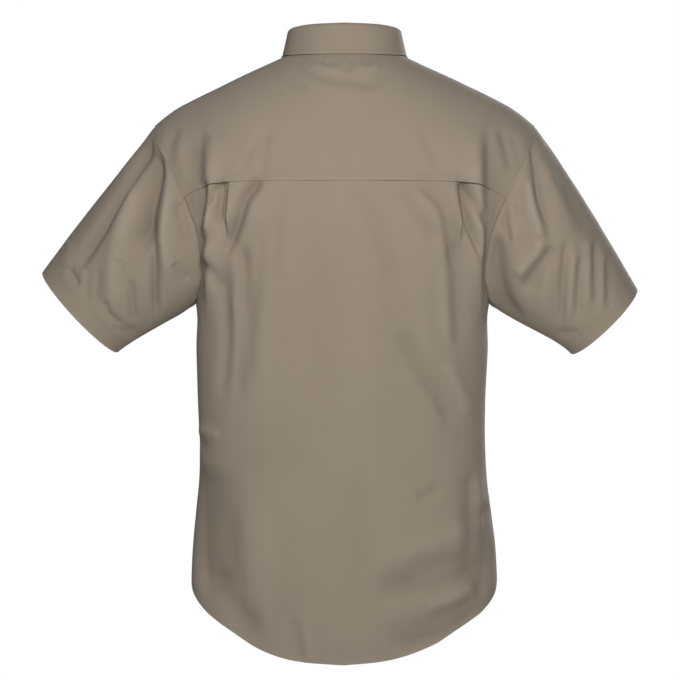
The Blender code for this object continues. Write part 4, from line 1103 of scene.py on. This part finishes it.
def front_half(side):
    """Turns, heights and lifts of one front, from its edge past the middle to the side seam."""
    start = 180.0 + OVERLAP_ANGLE * np.linspace(1.0, -1.0, EDGE_COLUMNS)
    rest = np.linspace(start[-1], NECK_YOKE_ANGLE, NECK_FRONT_COLUMNS + 1)[1:]
    neck_x, neck_y = neck_plan(np.concatenate([start, rest]))
    neck_t = 2.0 * RIDGE_HEIGHT - over_height(neck_x, neck_y)
    outer_x, outer_t = yoke_outer_line()
    rings = np.linspace(0.0, 1.0, YOKE_RINGS + 1)[1:]
    seam_x = neck_x[-1] + (outer_x[-1] - neck_x[-1]) * rings
    seam_t = neck_t[-1] + (2.0 * RIDGE_HEIGHT - outer_t[-1] - neck_t[-1]) * rings
    top_x, top_t = np.concatenate([neck_x, seam_x]), np.concatenate([neck_t, seam_t])
    turns, heights = armhole_line(-1, UNDERARM, YOKE_FRONT_HEIGHT, ARMHOLE_ROWS)
    turns, heights = turns[::-1], heights[::-1]
    first_turn = turn_of(-1, top_x, top_t)
    share = np.clip((top_x - top_x[0]) / (top_x[-1] - top_x[0]), 0.0, 1.0) ** 2
    edge_x = neck_x[:EDGE_COLUMNS]
    low = turn_of(-1, edge_x, np.full(EDGE_COLUMNS, UNDERARM))
    low_turn = np.concatenate([low, np.linspace(low[-1], 1.0, len(top_x) - EDGE_COLUMNS + 1)[1:]])
    grid = []
    for index in range(ARMHOLE_ROWS + BODY_ROWS + 1):
        if index <= ARMHOLE_ROWS:
            down = index / ARMHOLE_ROWS
            turn = first_turn * (1.0 - down) + low_turn * down
            turn = turn + (turns[index] - turn[-1]) * share
            height = top_t * (1.0 - down) + UNDERARM * down
            height = height + (heights[index] - height[-1]) * share
        else:
            down = (index - ARMHOLE_ROWS) / BODY_ROWS
            turn = low_turn.copy()
            height = UNDERARM + (hem_height(-1, low_turn) - UNDERARM) * down
        turn[:EDGE_COLUMNS] = turn_of(-1, edge_x, height[:EDGE_COLUMNS])
        inner = ease((across_of(-1, turn, height) - LAP_FLAT) / LAP_FADE)
        grid.append((side * turn, height, -(side < 0) * FRONT_RECESS * (1.0 - inner)))
    return np.array(grid).transpose(1, 0, 2)


FRONTS = {}
for side, word in ((1, "left"), (-1, "right")):
    front_turn, front_height, front_lift = front_half(side)
    smooth, normals = place(-1, front_turn, front_height, front_lift)
    calm = ease((np.abs(front_turn) - CALM_FROM) / CALM_OVER) * calm_by_side(front_turn)
    points, relief = dressed(smooth, normals, FRONT_CREASES, SEEDS[f"front_{word}"], calm)
    from_hem = from_bottom(points)
    from_edge = lengths_along(points, 1)
    from_side = lengths_along(points[:, ::-1], 1)[:, ::-1]
    stitch = np.minimum(np.abs(from_hem - HEM_STITCH), np.abs(from_side - SIDE_STITCH))
    hemmed = turned_hem(points, normals, HEM_TURN)
    FRONTS[side] = (points, normals)
    made = cloth_object(f"shirt_front_{word}", hemmed, stitch=padded_rows(stitch, len(hemmed)),
                        edge=padded_rows(np.minimum(from_hem, from_edge), len(hemmed), 0.0),
                        relief=relief)
    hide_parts(f"front_{word}")

# %% [markdown]
# ## Button band
# The band is a strip of the same cloth, folded in at both sides and stitched on the left front.

# %% Button band
BAND_LIFT = 1.4
BAND_CLOTH = 1.3
BAND_STITCH = 4.0
under_band, BAND_NORMALS = [part[:, :EDGE_COLUMNS] for part in FRONTS[1]]
BAND = under_band + BAND_NORMALS * BAND_LIFT
band_across = from_sides(BAND)
band = cloth_object("button_band", BAND, stitch=np.abs(band_across - BAND_STITCH), edge=band_across,
                    thickness=BAND_CLOTH)
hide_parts("front_placket")

# %% [markdown]
# ## Sleeves
# A set-in sleeve is a tube that starts on the armhole seam and ends in a wide hemmed cuff.  Each
# point of the seam is led along a smooth curve to its own point of the cuff's oval, which leaves
# the shoulder at the slope the cloth has there.  Long soft folds run down it from the shoulder.

# %% Sleeves
Sleeve = namedtuple("Sleeve", "inner_x inner_z outer_x outer_z half_depth")
SLEEVES = {
    1: Sleeve(294.5, -380.0, 392.0, -275.0, 59.0),
    -1: Sleeve(294.5, -382.0, 379.5, -297.0, 66.0),
}
SLEEVE_TOP_SLOPE = (0.62, -0.785)
SLEEVE_UNDER_SLOPE = (0.80, -0.60)
SLEEVE_SWELL = 0.16
SLEEVE_ARRIVE = 0.85
SLEEVE_TOP_STRAIGHT = 1.2  # how far the sleeve's upper edge runs straight to the cuff
CUFF_BOW = 7.0
CALM = 9
CALM_SHARE = 0.12
SLEEVE_ROWS = 104
CUFF_TURN = 20.0
CUFF_STITCH = 18.0
ARM_ALLOWANCE = 6.0
ARM_TUCK = 1.6
FACING = 0.5
SLEEVE_UNEVEN = 0.9
SLEEVE_SKEW = 0.7
ARM_CALM_FROM = 4.0
ARM_CALM_OVER = 16.0
SEAM_DIP = 0.9
SEAM_DIP_WIDTH = 3.0


def armhole_loop(side):
    """Closed line of the armhole on the made panels, from the underarm up the back."""
    back_edge = BACK[2:ARMHOLE_ROWS + 3, -1 if side > 0 else 0][::-1]
    front_edge = FRONTS[side][0][:ARMHOLE_ROWS + 1, -1]
    count = YOKE_ARM_BACK + YOKE_ARM_FRONT
    yoke_edge = YOKE[-1, -count - 1:] if side > 0 else YOKE[-1, count::-1]
    loop = np.concatenate([back_edge[:-1], yoke_edge[:-1], front_edge])
    fine = np.arange(2 * len(loop) - 1) / 2.0
    return np.stack([np.interp(fine, np.arange(len(loop)), loop[:, axis]) for axis in range(3)], -1)


def sleeve_tube(side):
    """Grid of a sleeve, rings from the armhole to the cuff; the last column closes the ring."""
    sleeve = SLEEVES[side]
    loop = armhole_loop(side)
    lengths = lengths_along(loop[None], 1)[0]
    top_index = 2 * (ARMHOLE_ROWS + YOKE_ARM_BACK)
    up = np.clip(lengths / lengths[top_index], 0.0, 1.0)
    down = np.clip((lengths - lengths[top_index]) / (lengths[-1] - lengths[top_index]), 0.0, 1.0)
    angle = np.pi * (1.0 - up - down)
    middle = np.array([side * (sleeve.inner_x + sleeve.outer_x), 0.0, sleeve.inner_z + sleeve.outer_z]) / 2
    reach = np.array([side * (sleeve.outer_x - sleeve.inner_x), 0.0, sleeve.outer_z - sleeve.inner_z]) / 2
    deep = np.array([0.0, sleeve.half_depth, 0.0])
    axis = unit(np.array([side * abs(reach[2]), 0.0, -abs(reach[0])]))
    cuff = middle + np.cos(angle)[:, None] * reach + np.sin(angle)[:, None] * deep
    cuff = cuff + CUFF_BOW * np.maximum(np.sin(angle), 0.0)[:, None] * axis
    height = loop[:, 2]
    topness = (height - height.min()) / (height.max() - height.min())
    slope_x = SLEEVE_UNDER_SLOPE[0] + (SLEEVE_TOP_SLOPE[0] - SLEEVE_UNDER_SLOPE[0]) * topness
    slope_z = SLEEVE_UNDER_SLOPE[1] + (SLEEVE_TOP_SLOPE[1] - SLEEVE_UNDER_SLOPE[1]) * topness
    leave = unit(np.stack([side * slope_x, SLEEVE_SWELL * np.sin(angle), slope_z], -1))
    chord = np.linalg.norm(cuff - loop, axis=1)[:, None]
    arrive = unit(axis + SLEEVE_TOP_STRAIGHT * topness[:, None] * (unit(cuff - loop) - axis))
    along = np.linspace(0.0, 1.0, SLEEVE_ROWS + 1)[:, None, None]
    rest = 1.0 - along
    ring = np.concatenate([loop[-CALM - 1:-1], loop, loop[1:CALM + 1]])
    calm = sum(ring[shift:shift + len(loop)] for shift in range(2 * CALM + 1)) / (2 * CALM + 1)
    start = loop + (calm - loop) * ease(along / CALM_SHARE)
    return (
        start * rest * rest * (1.0 + 2.0 * along)
        + cuff * along * along * (3.0 - 2.0 * along)
        + leave * chord * along * rest * rest
        - arrive * chord * SLEEVE_ARRIVE * along * along * rest
    )


SLEEVE_GRIDS = {}
for side, word in ((1, "left"), (-1, "right")):
    tube = sleeve_tube(side)
    normals = outward(tube, True)
    lift = np.zeros(tube.shape[:2])
    for face, creases in ((1, SLEEVE_BACK_CREASES), (-1, SLEEVE_FRONT_CREASES)):
        facing = ease(face * normals[..., 1] / FACING)
        lift = lift + facing * crease_lift(creases, tube[..., 0], tube[..., 2])
    skewed = tube[..., 0] + tube[..., 1] * SLEEVE_SKEW
    lift = lift + SLEEVE_UNEVEN * uneven(skewed, tube[..., 2], SEEDS[f"sleeve_{word}"])
    from_armhole = lengths_along(tube, 0)
    dip = SEAM_DIP * np.exp(-(from_armhole / SEAM_DIP_WIDTH) ** 2)
    lift = lift * ease((from_armhole + ARM_CALM_FROM) / ARM_CALM_OVER) - dip
    tube = tube + normals * lift[..., None]
    tucked = tube[:1] - unit(tube[1:2] - tube[:1]) * ARM_ALLOWANCE - normals[:1] * CLOTH * ARM_TUCK
    tube = np.concatenate([tucked, tube])
    lift = np.concatenate([lift[:1], lift])
    tube[:, -1] = tube[:, 0]
    normals = outward(tube, True)
    from_cuff = from_bottom(tube)
    SLEEVE_GRIDS[side] = (tube, normals)
    hemmed = turned_hem(tube, normals, CUFF_TURN)
    made = cloth_object(f"shirt_sleeve_{word}", hemmed, True,
                        stitch=padded_rows(np.abs(from_cuff - CUFF_STITCH), len(hemmed)),
                        edge=padded_rows(from_cuff, len(hemmed), 0.0), relief=lift)
    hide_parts(f"sleeve_{word}")

# %% [markdown]
# ## Collar
# The stand is a straight band sewn round the neck; the leaf folds over its top and falls outside.
# Both are stiffened cloth, so they stay smooth and their edges are crisp.

# %% Collar
STAND_BACK = 30.0
STAND_FRONT = 27.0
STAND_INSET = 1.3
STAND_RECESS = 1.8
LEAF_ROLL = ((-1.6, 1.3), (-1.1, 3.0), (1.2, 4.4), (4.4, 1.8))
Leaf = namedtuple("Leaf", "angle x y z")
LEAF_EDGE = (
    Leaf(0.0, 0.0, 76.0, 1.4),
    Leaf(35.0, 46.0, 63.0, 2.0),
    Leaf(65.0, 73.0, 34.0, 2.6),
    Leaf(88.0, 81.0, 4.0, 2.0),
    Leaf(115.0, 83.5, -40.0, -14.0),
    Leaf(145.0, 73.0, -86.0, -62.0),
    Leaf(174.0, 50.0, -114.0, -106.0),
)
LEAF_CLEARANCE = 2.4
LEAF_FRONT_CLEARANCE = 2.6
LEAF_END_LIFT = 1.6
COLLAR_COLUMNS = 70
COLLAR_CLOTH = 1.3
COLLAR_LEAN = 1.4
STAND_ROWS = 11
ROLL_ROWS = 13
FALL_ROWS = 17
LEAF_STITCH = 5.0


def collar_angles(last):
    """Angles round the neck, the same on both sides, which end in the given ones."""
    half = np.concatenate([np.linspace(0.0, 180.0 - OVERLAP_ANGLE, COLLAR_COLUMNS + 1), last])
    return np.concatenate([-half[:0:-1], half])


def neck_height(angles):
    """Height of the neckline on the body."""
    x, y = neck_plan(angles)
    return over_place(x, over_height(x, y))[0][..., 2]


def stand_top(angles):
    """Height of the top of the collar stand."""
    forward = ease(np.abs(angles) / 180.0)
    return neck_height(angles) + STAND_BACK + (STAND_FRONT - STAND_BACK) * forward


def stand_grid():
    """Outside of the collar stand, rows from its lower edge up."""
    angles = collar_angles(180.0 + OVERLAP_ANGLE * np.linspace(-0.75, 1.0, 8))
    near_front = ease((np.abs(angles) - 140.0) / 22.0)
    under = near_front * np.where(angles < 0, FRONT_RECESS + STAND_RECESS, FRONT_RECESS)
    grid = []
    for share in np.linspace(0.0, 1.0, STAND_ROWS):
        inset = STAND_INSET + COLLAR_LEAN * share + under
        plan_x, plan_y = neck_plan(angles)
        scale_x = 1.0 - inset / NECK_HALF_WIDTH
        scale_y = 1.0 - inset / np.where(plan_y > 0, NECK_BACK, NECK_FRONT)
        foot = neck_height(angles) - 1.0
        up = foot + (stand_top(angles) - foot) * share
        grid.append(np.stack([plan_x * scale_x, plan_y * scale_y, up], -1))
    return np.array(grid)


def surface_height(points):
    """Height of the body's outside under a point."""
    over = over_height(points[..., 0], points[..., 1])
    return over_place(points[..., 0], over)[0][..., 2]


def leaf_grid():
    """Outside of the turned-down leaf, rows from the top of the stand over to its edge."""
    past_middle = (LEAF_EDGE[-1].angle - 180.0 + OVERLAP_ANGLE) * np.linspace(0.25, 1.0, 4)
    angles = collar_angles(180.0 - OVERLAP_ANGLE + past_middle)
    side = np.sign(angles)
    plan_x, plan_y = neck_plan(angles)
    out = unit(np.stack([plan_x, plan_y], -1))
    top = stand_top(angles) + LEAF_END_LIFT * ease((np.abs(angles) - 150.0) / 20.0)
    inset = STAND_INSET + COLLAR_LEAN
    slant = np.hypot(1.0, np.gradient(top) / np.hypot(np.gradient(plan_x), np.gradient(plan_y)))
    marks = np.array(LEAF_ROLL)
    grid = []
    for step in np.linspace(0.0, len(marks) - 1.0, ROLL_ROWS):
        step_out = float(through(np.arange(len(marks)), marks[:, 0], step))
        step_up = float(through(np.arange(len(marks)), marks[:, 1], step))
        away = out * (step_out - inset)
        grid.append(np.stack([plan_x + away[:, 0], plan_y + away[:, 1], top + step_up * slant], -1))
    fold = grid[-1]
    edge = np.stack([column(LEAF_EDGE, "angle", axis, np.abs(angles)) for axis in ("x", "y", "z")], -1)
    edge[:, 0] *= side
    for share in np.linspace(0.0, 1.0, FALL_ROWS)[1:]:
        grid.append(fold + (edge - fold) * share)
    grid = np.array(grid)
    steep = LEAF_CLEARANCE + LEAF_FRONT_CLEARANCE * ease((np.abs(angles) - 90.0) / 50.0)
    for row in grid[ROLL_ROWS:]:
        row[:, 2] = np.maximum(row[:, 2], surface_height(row) + steep)
    return grid


STAND = stand_grid()
LEAF = leaf_grid()
LEAF_NORMALS = outward(LEAF)
STAND_NORMALS = outward(STAND)
leaf_edge = np.minimum(from_bottom(LEAF), from_sides(LEAF))
stand = cloth_object("collar_stand_band", STAND, thickness=COLLAR_CLOTH)
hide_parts("collar_stand")
collar = cloth_object("collar_leaf", LEAF, stitch=np.abs(leaf_edge - LEAF_STITCH), edge=leaf_edge,
                      thickness=COLLAR_CLOTH)
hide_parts("collar")

# %% [markdown]
# ## Buttons
# A four-hole button is a small turned disc with a raised rim and a dished middle.  It starts as a
# cylinder whose top is inset twice; its holes are not cut but shown as painted shade, four short
# near-black discs on the dished middle, crossed by the thread.

# %% Buttons
BUTTON_RADIUS = 5.6
BUTTON_THICKNESS = 2.4
BUTTON_FOOT = 0.86
BUTTON_GAP = 0.3
BUTTON_HEIGHTS = (-120.0, -212.0, -304.0, -396.0, -488.0, -580.0)
HOLE_PLACE = 1.15
HOLE_RADIUS = 0.62
HOLE_HEIGHT = 0.62
HOLE_DEPTH = 0.12
THREAD_HEIGHT = 0.8
THREAD_BAR = (1.7, 0.42, 0.38, 1.0)
SHARP_ANGLE = 0.8


def polished(name, base, dark, roughness):
    """A plain finish that varies between two close colours."""
    made, shader, start = new_material(name)
    spot = start.node("ShaderNodeTexCoord", None, 3)
    cloud = start.node("ShaderNodeTexNoise", None, 0, Vector=spot, Scale=260.0, Detail=3.0)
    connect(mix_colours(start, dark, base, cloud), shader, "Base Color")
    connect(roughness + cloud * 0.12, shader, "Roughness")
    return made


BUTTON_FINISH = polished("button_polish", (0.22, 0.17, 0.12, 1.0), (0.13, 0.095, 0.065, 1.0), 0.28)
THREAD = polished("sewing_thread", (0.36, 0.30, 0.23, 1.0), (0.27, 0.22, 0.165, 1.0), 0.75)
# painted shade: the button holes are not cut, and near-black discs stand in for them
HOLE_SHADE = polished("button_hole_shade", (0.02, 0.015, 0.012, 1.0), (0.012, 0.01, 0.008, 1.0), 0.8)


def small_object(name, bm, material):
    """A finished object from a bmesh, on the one body."""
    for face in bm.faces:
        face.smooth = True
    mesh = bpy.data.meshes.new(name)
    bm.to_mesh(mesh)
    bm.free()
    mesh.materials.append(material)
    mesh.set_sharp_from_angle(angle=SHARP_ANGLE)
    made = bpy.data.objects.new(name, mesh)
    bpy.context.scene.collection.objects.link(made)
    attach(made, "root")
    return made


def standing(centre, normal):
    """Placement that stands a piece on a spot, along the normal there."""
    turned = Vector(normal).to_track_quat("Z", "Y").to_matrix().to_4x4()
    return Matrix.Scale(MM, 4) @ Matrix.Translation(Vector(centre)) @ turned


def button_pieces(number, spot, normal):
    """A button with four near-black discs of painted shade for its holes, and the two bars of thread across
    them.
    """
    seat = standing(np.asarray(spot) + np.asarray(normal) * BUTTON_THICKNESS / 2.0, normal)
    bm = bmesh.new()
    bmesh.ops.create_cone(bm, cap_ends=True, segments=40, radius1=BUTTON_RADIUS * BUTTON_FOOT,
                          radius2=BUTTON_RADIUS, depth=BUTTON_THICKNESS)
    top = [f for f in bm.faces if f.normal.z > 0.9]
    rim = [e for e in bm.edges if len(e.link_faces) == 2 and any(f in top for f in e.link_faces)]
    bmesh.ops.bevel(bm, geom=rim, offset=0.4, offset_type="OFFSET", segments=3, profile=0.5,
                    affect="EDGES", material=-1)
    top = [f for f in bm.faces if f.normal.z > 0.99]
    bmesh.ops.inset_region(bm, faces=top, thickness=0.9, depth=0.0)
    bmesh.ops.inset_region(bm, faces=top, thickness=0.5, depth=-0.6)
    bmesh.ops.transform(bm, matrix=seat, verts=bm.verts[:])
    made = small_object(f"shirt_button_{number}", bm, BUTTON_FINISH)
    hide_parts(f"button_{number}")
    # four near-black discs on the dished middle, painted shade in place of cut holes
    bm = bmesh.new()
    for x, y in ((1, 1), (1, -1), (-1, 1), (-1, -1)):
        hole = seat @ Matrix.Translation((HOLE_PLACE * x, HOLE_PLACE * y, HOLE_HEIGHT))
        bmesh.ops.create_cone(bm, cap_ends=True, segments=14, radius1=HOLE_RADIUS, radius2=HOLE_RADIUS,
                              depth=HOLE_DEPTH, matrix=hole)
    small_object(f"button_hole_shades_{number}", bm, HOLE_SHADE)
    bm = bmesh.new()
    for y in (HOLE_PLACE, -HOLE_PLACE):
        bar = seat @ Matrix.Translation((0.0, y, THREAD_HEIGHT)) @ Matrix.Diagonal(THREAD_BAR)
        bmesh.ops.create_uvsphere(bm, u_segments=10, v_segments=6, radius=1.0, matrix=bar)
    small_object(f"button_thread_{number}", bm, THREAD)


stand_spot = (STAND_ROWS // 2, STAND.shape[1] - 5)
button_pieces(1, STAND[stand_spot], STAND_NORMALS[stand_spot])
for number, up in enumerate(BUTTON_HEIGHTS, start=2):
    spot, normal = place(-1, np.zeros(1), np.full(1, up), 0.0)
    button_pieces(number, spot[0] + normal[0] * (BAND_LIFT + BUTTON_GAP), normal[0])
print(len(BUTTON_HEIGHTS) + 1, "buttons")

# %% [markdown]
# ## Stitches
# Rows of stitches hold every seam and hem.  One stitch is a slim bead of thread with two dozen
# faces, laid every three millimetres along a line at a fixed distance from an edge, and all the
# stitches of one kind are one mesh.

# %% Stitches
STITCH_PITCH = 3.0
STITCH_STEP = 0.8
STITCH_LENGTH = 1.15
STITCH_WIDTH = 0.26
STITCH_HEIGHT = 0.2


def inset_line(points, normals, distance):
    """Line on a grid at a distance from its last row, with the normals there."""
    gone = lengths_along(points[::-1], 0)
    return up_from_last(points, gone, distance), unit(up_from_last(normals, gone, distance))


def bead():
    """One stitch: a slim round bead, one millimetre in radius before it is scaled."""
    bm = bmesh.new()
    bmesh.ops.create_uvsphere(bm, u_segments=6, v_segments=4, radius=1.0)
    mesh = bpy.data.meshes.new("stitch")
    bm.to_mesh(mesh)
    bm.free()
    return bpy.data.objects.new("stitch", mesh)


def stitch_rows(name, lines):
    """All the stitches along several lines, as one object: an array of beads, each then placed."""
    seats = []
    for spots, aims in lines:
        lengths = lengths_along(spots[None], 1)[0]
        count = int(lengths[-1] / STITCH_PITCH)
        wanted = (np.arange(count) + 0.5) * lengths[-1] / count
        where, ahead, behind = [
            np.stack([np.interp(wanted + step, lengths, spots[:, axis]) for axis in range(3)], -1)
            for step in (0.0, STITCH_STEP, -STITCH_STEP)
        ]
        normal = np.stack([np.interp(wanted, lengths, aims[:, axis]) for axis in range(3)], -1)
        run = unit(ahead - behind)
        aside = unit(np.cross(normal, run))
        above = np.cross(run, aside)
        seats.append(np.stack(
            [run * STITCH_LENGTH, aside * STITCH_WIDTH, above * STITCH_HEIGHT, where], 1))
    seats = np.concatenate(seats)
    pattern = bead()
    bpy.context.scene.collection.objects.link(pattern)
    shape = np.array([v.co for v in pattern.data.vertices])
    shape = np.concatenate([shape, np.ones((len(shape), 1))], axis=1)
    repeat = pattern.modifiers.new("row", "ARRAY")
    repeat.count = len(seats)
    evaluated = pattern.evaluated_get(bpy.context.evaluated_depsgraph_get())
    mesh = bpy.data.meshes.new_from_object(evaluated)
    mesh.vertices.foreach_set("co", (shape @ seats * MM).ravel())
    bpy.data.objects.remove(pattern)
    bm = bmesh.new()
    bm.from_mesh(mesh)
    print(name, len(seats), "stitches")
    return small_object(name, bm, THREAD)


def turned_grid(points):
    """The grid with its columns as rows, so that a side edge becomes its last row."""
    return points.transpose(1, 0, 2)


def sew(name, grids, *distances):
    """Stitches at each distance from the last row of each grid, a grid being points and normals."""
    return stitch_rows(name, [inset_line(*grid, distance) for grid in grids for distance in distances])


sew("hem_stitches", [(BACK, BACK_NORMALS), *FRONTS.values()], HEM_STITCH)
sew("cuff_stitches", SLEEVE_GRIDS.values(), CUFF_STITCH)
sew("yoke_stitches", [(YOKE, YOKE_NORMALS)], *YOKE_STITCHES)
sew("collar_stitches", [(LEAF, LEAF_NORMALS)], LEAF_STITCH)
band_grid = [turned_grid(part) for part in (BAND, BAND_NORMALS)]
sew("band_stitches", [band_grid, [part[::-1] for part in band_grid]], BAND_STITCH)

# the back's two extra rows above the yoke seam are hidden, so its side rows start below them
back_grid = [turned_grid(part[2:]) for part in (BACK, BACK_NORMALS)]
side_grids = []
for side in (1, -1):
    side_grids.append([part[::side] for part in back_grid])
    side_grids.append([turned_grid(part) for part in FRONTS[side]])
sew("side_stitches", side_grids, SIDE_STITCH)

# %% [markdown]
# ## Light and floor
# The picture has a white ground and soft light from the camera's side, a little from above.  A disc
# light between the camera and the shirt does that, with a weak one at the side and one for the front.
# The camera sees the world pure white, and the cloth gets only a gentle fill from it.  The pale floor
# lies well below the hem.  The lights are aimed at the shirt and leave it dim, so part of its paint
# shines for the camera alone, which throws no light on the cloth.

# %% Light and floor
WORLD_FILL = 0.12
FLOOR_HEIGHT = -1.4
FLOOR_RADIUS = 3.5
FLOOR_GLOW = 0.62


def area_light(name, place_at, aim, size, watts):
    """A round light, turned to face a place on the shirt."""
    data = bpy.data.lights.new(name, "AREA")
    data.shape = "DISK"
    data.size = size
    data.energy = watts
    made = bpy.data.objects.new(name, data)
    made.location = place_at
    made.rotation_euler = (Vector(aim) - Vector(place_at)).to_track_quat("-Z", "Y").to_euler()
    bpy.context.scene.collection.objects.link(made)


area_light("key", (-0.08, 1.68, 0.2), (0.0, 0.0, -0.22), 0.45, 23.0)
area_light("side_fill", (1.9, 1.9, 0.5), (0.0, 0.0, -0.25), 0.5, 4.0)
area_light("front_fill", (-1.2, -2.5, 0.5), (0.0, 0.0, -0.35), 0.7, 58.0)

world = bpy.data.worlds.new("studio")
world.use_nodes = True
bpy.context.scene.world = world
tree = world.node_tree
tree.nodes.clear()
start = Wire(tree, None)
ray = start.node("ShaderNodeLightPath", None, 0)
seen = start.node("ShaderNodeBackground", None, 0, Color=(1.0, 1.0, 1.0, 1.0), Strength=1.0)
fill = start.node("ShaderNodeBackground", None, 0, Color=(1.0, 0.99, 0.97, 1.0), Strength=WORLD_FILL)
both = start.node("ShaderNodeMixShader", None, 0, i0=ray, i1=fill, i2=seen)
output = tree.nodes.new("ShaderNodeOutputWorld")
tree.links.new(both.socket, output.inputs["Surface"])
bpy.context.scene.view_settings.view_transform = "Standard"

bm = bmesh.new()
bmesh.ops.create_circle(bm, cap_ends=True, segments=96, radius=FLOOR_RADIUS,
                        matrix=Matrix.Translation((0.0, 0.0, FLOOR_HEIGHT)))
mesh = bpy.data.meshes.new("floor")
bm.to_mesh(mesh)
bm.free()
floor = bpy.data.objects.new("floor", mesh)
bpy.context.scene.collection.objects.link(floor)
floor_finish, floor_shader, start = new_material("floor_paint")
floor_shader.inputs["Base Color"].default_value = (0.86, 0.86, 0.85, 1.0)
floor_shader.inputs["Roughness"].default_value = 0.7
ray = start.node("ShaderNodeLightPath", None, 0)
painted = Wire(start.tree, floor_shader.outputs["BSDF"])
glow = start.node("ShaderNodeEmission", None, 0, Color=(0.9, 0.9, 0.89, 1.0), Strength=1.0)
lit = start.node("ShaderNodeMixShader", None, 0, i0=ray * FLOOR_GLOW, i1=painted, i2=glow)
start.tree.links.new(lit.socket, start.tree.nodes["Material Output"].inputs["Surface"])
mesh.materials.append(floor_finish)
print(len(bpy.data.lights), "lights")

# %% [markdown]
# ## Sizes
# The last cell starts a record for the cloth pieces: for each piece its width, length and area,
# what holds it and what it rests on.

# %% Cloth pieces and size
Cut = namedtuple("Cut", "piece width length area held rests_on")
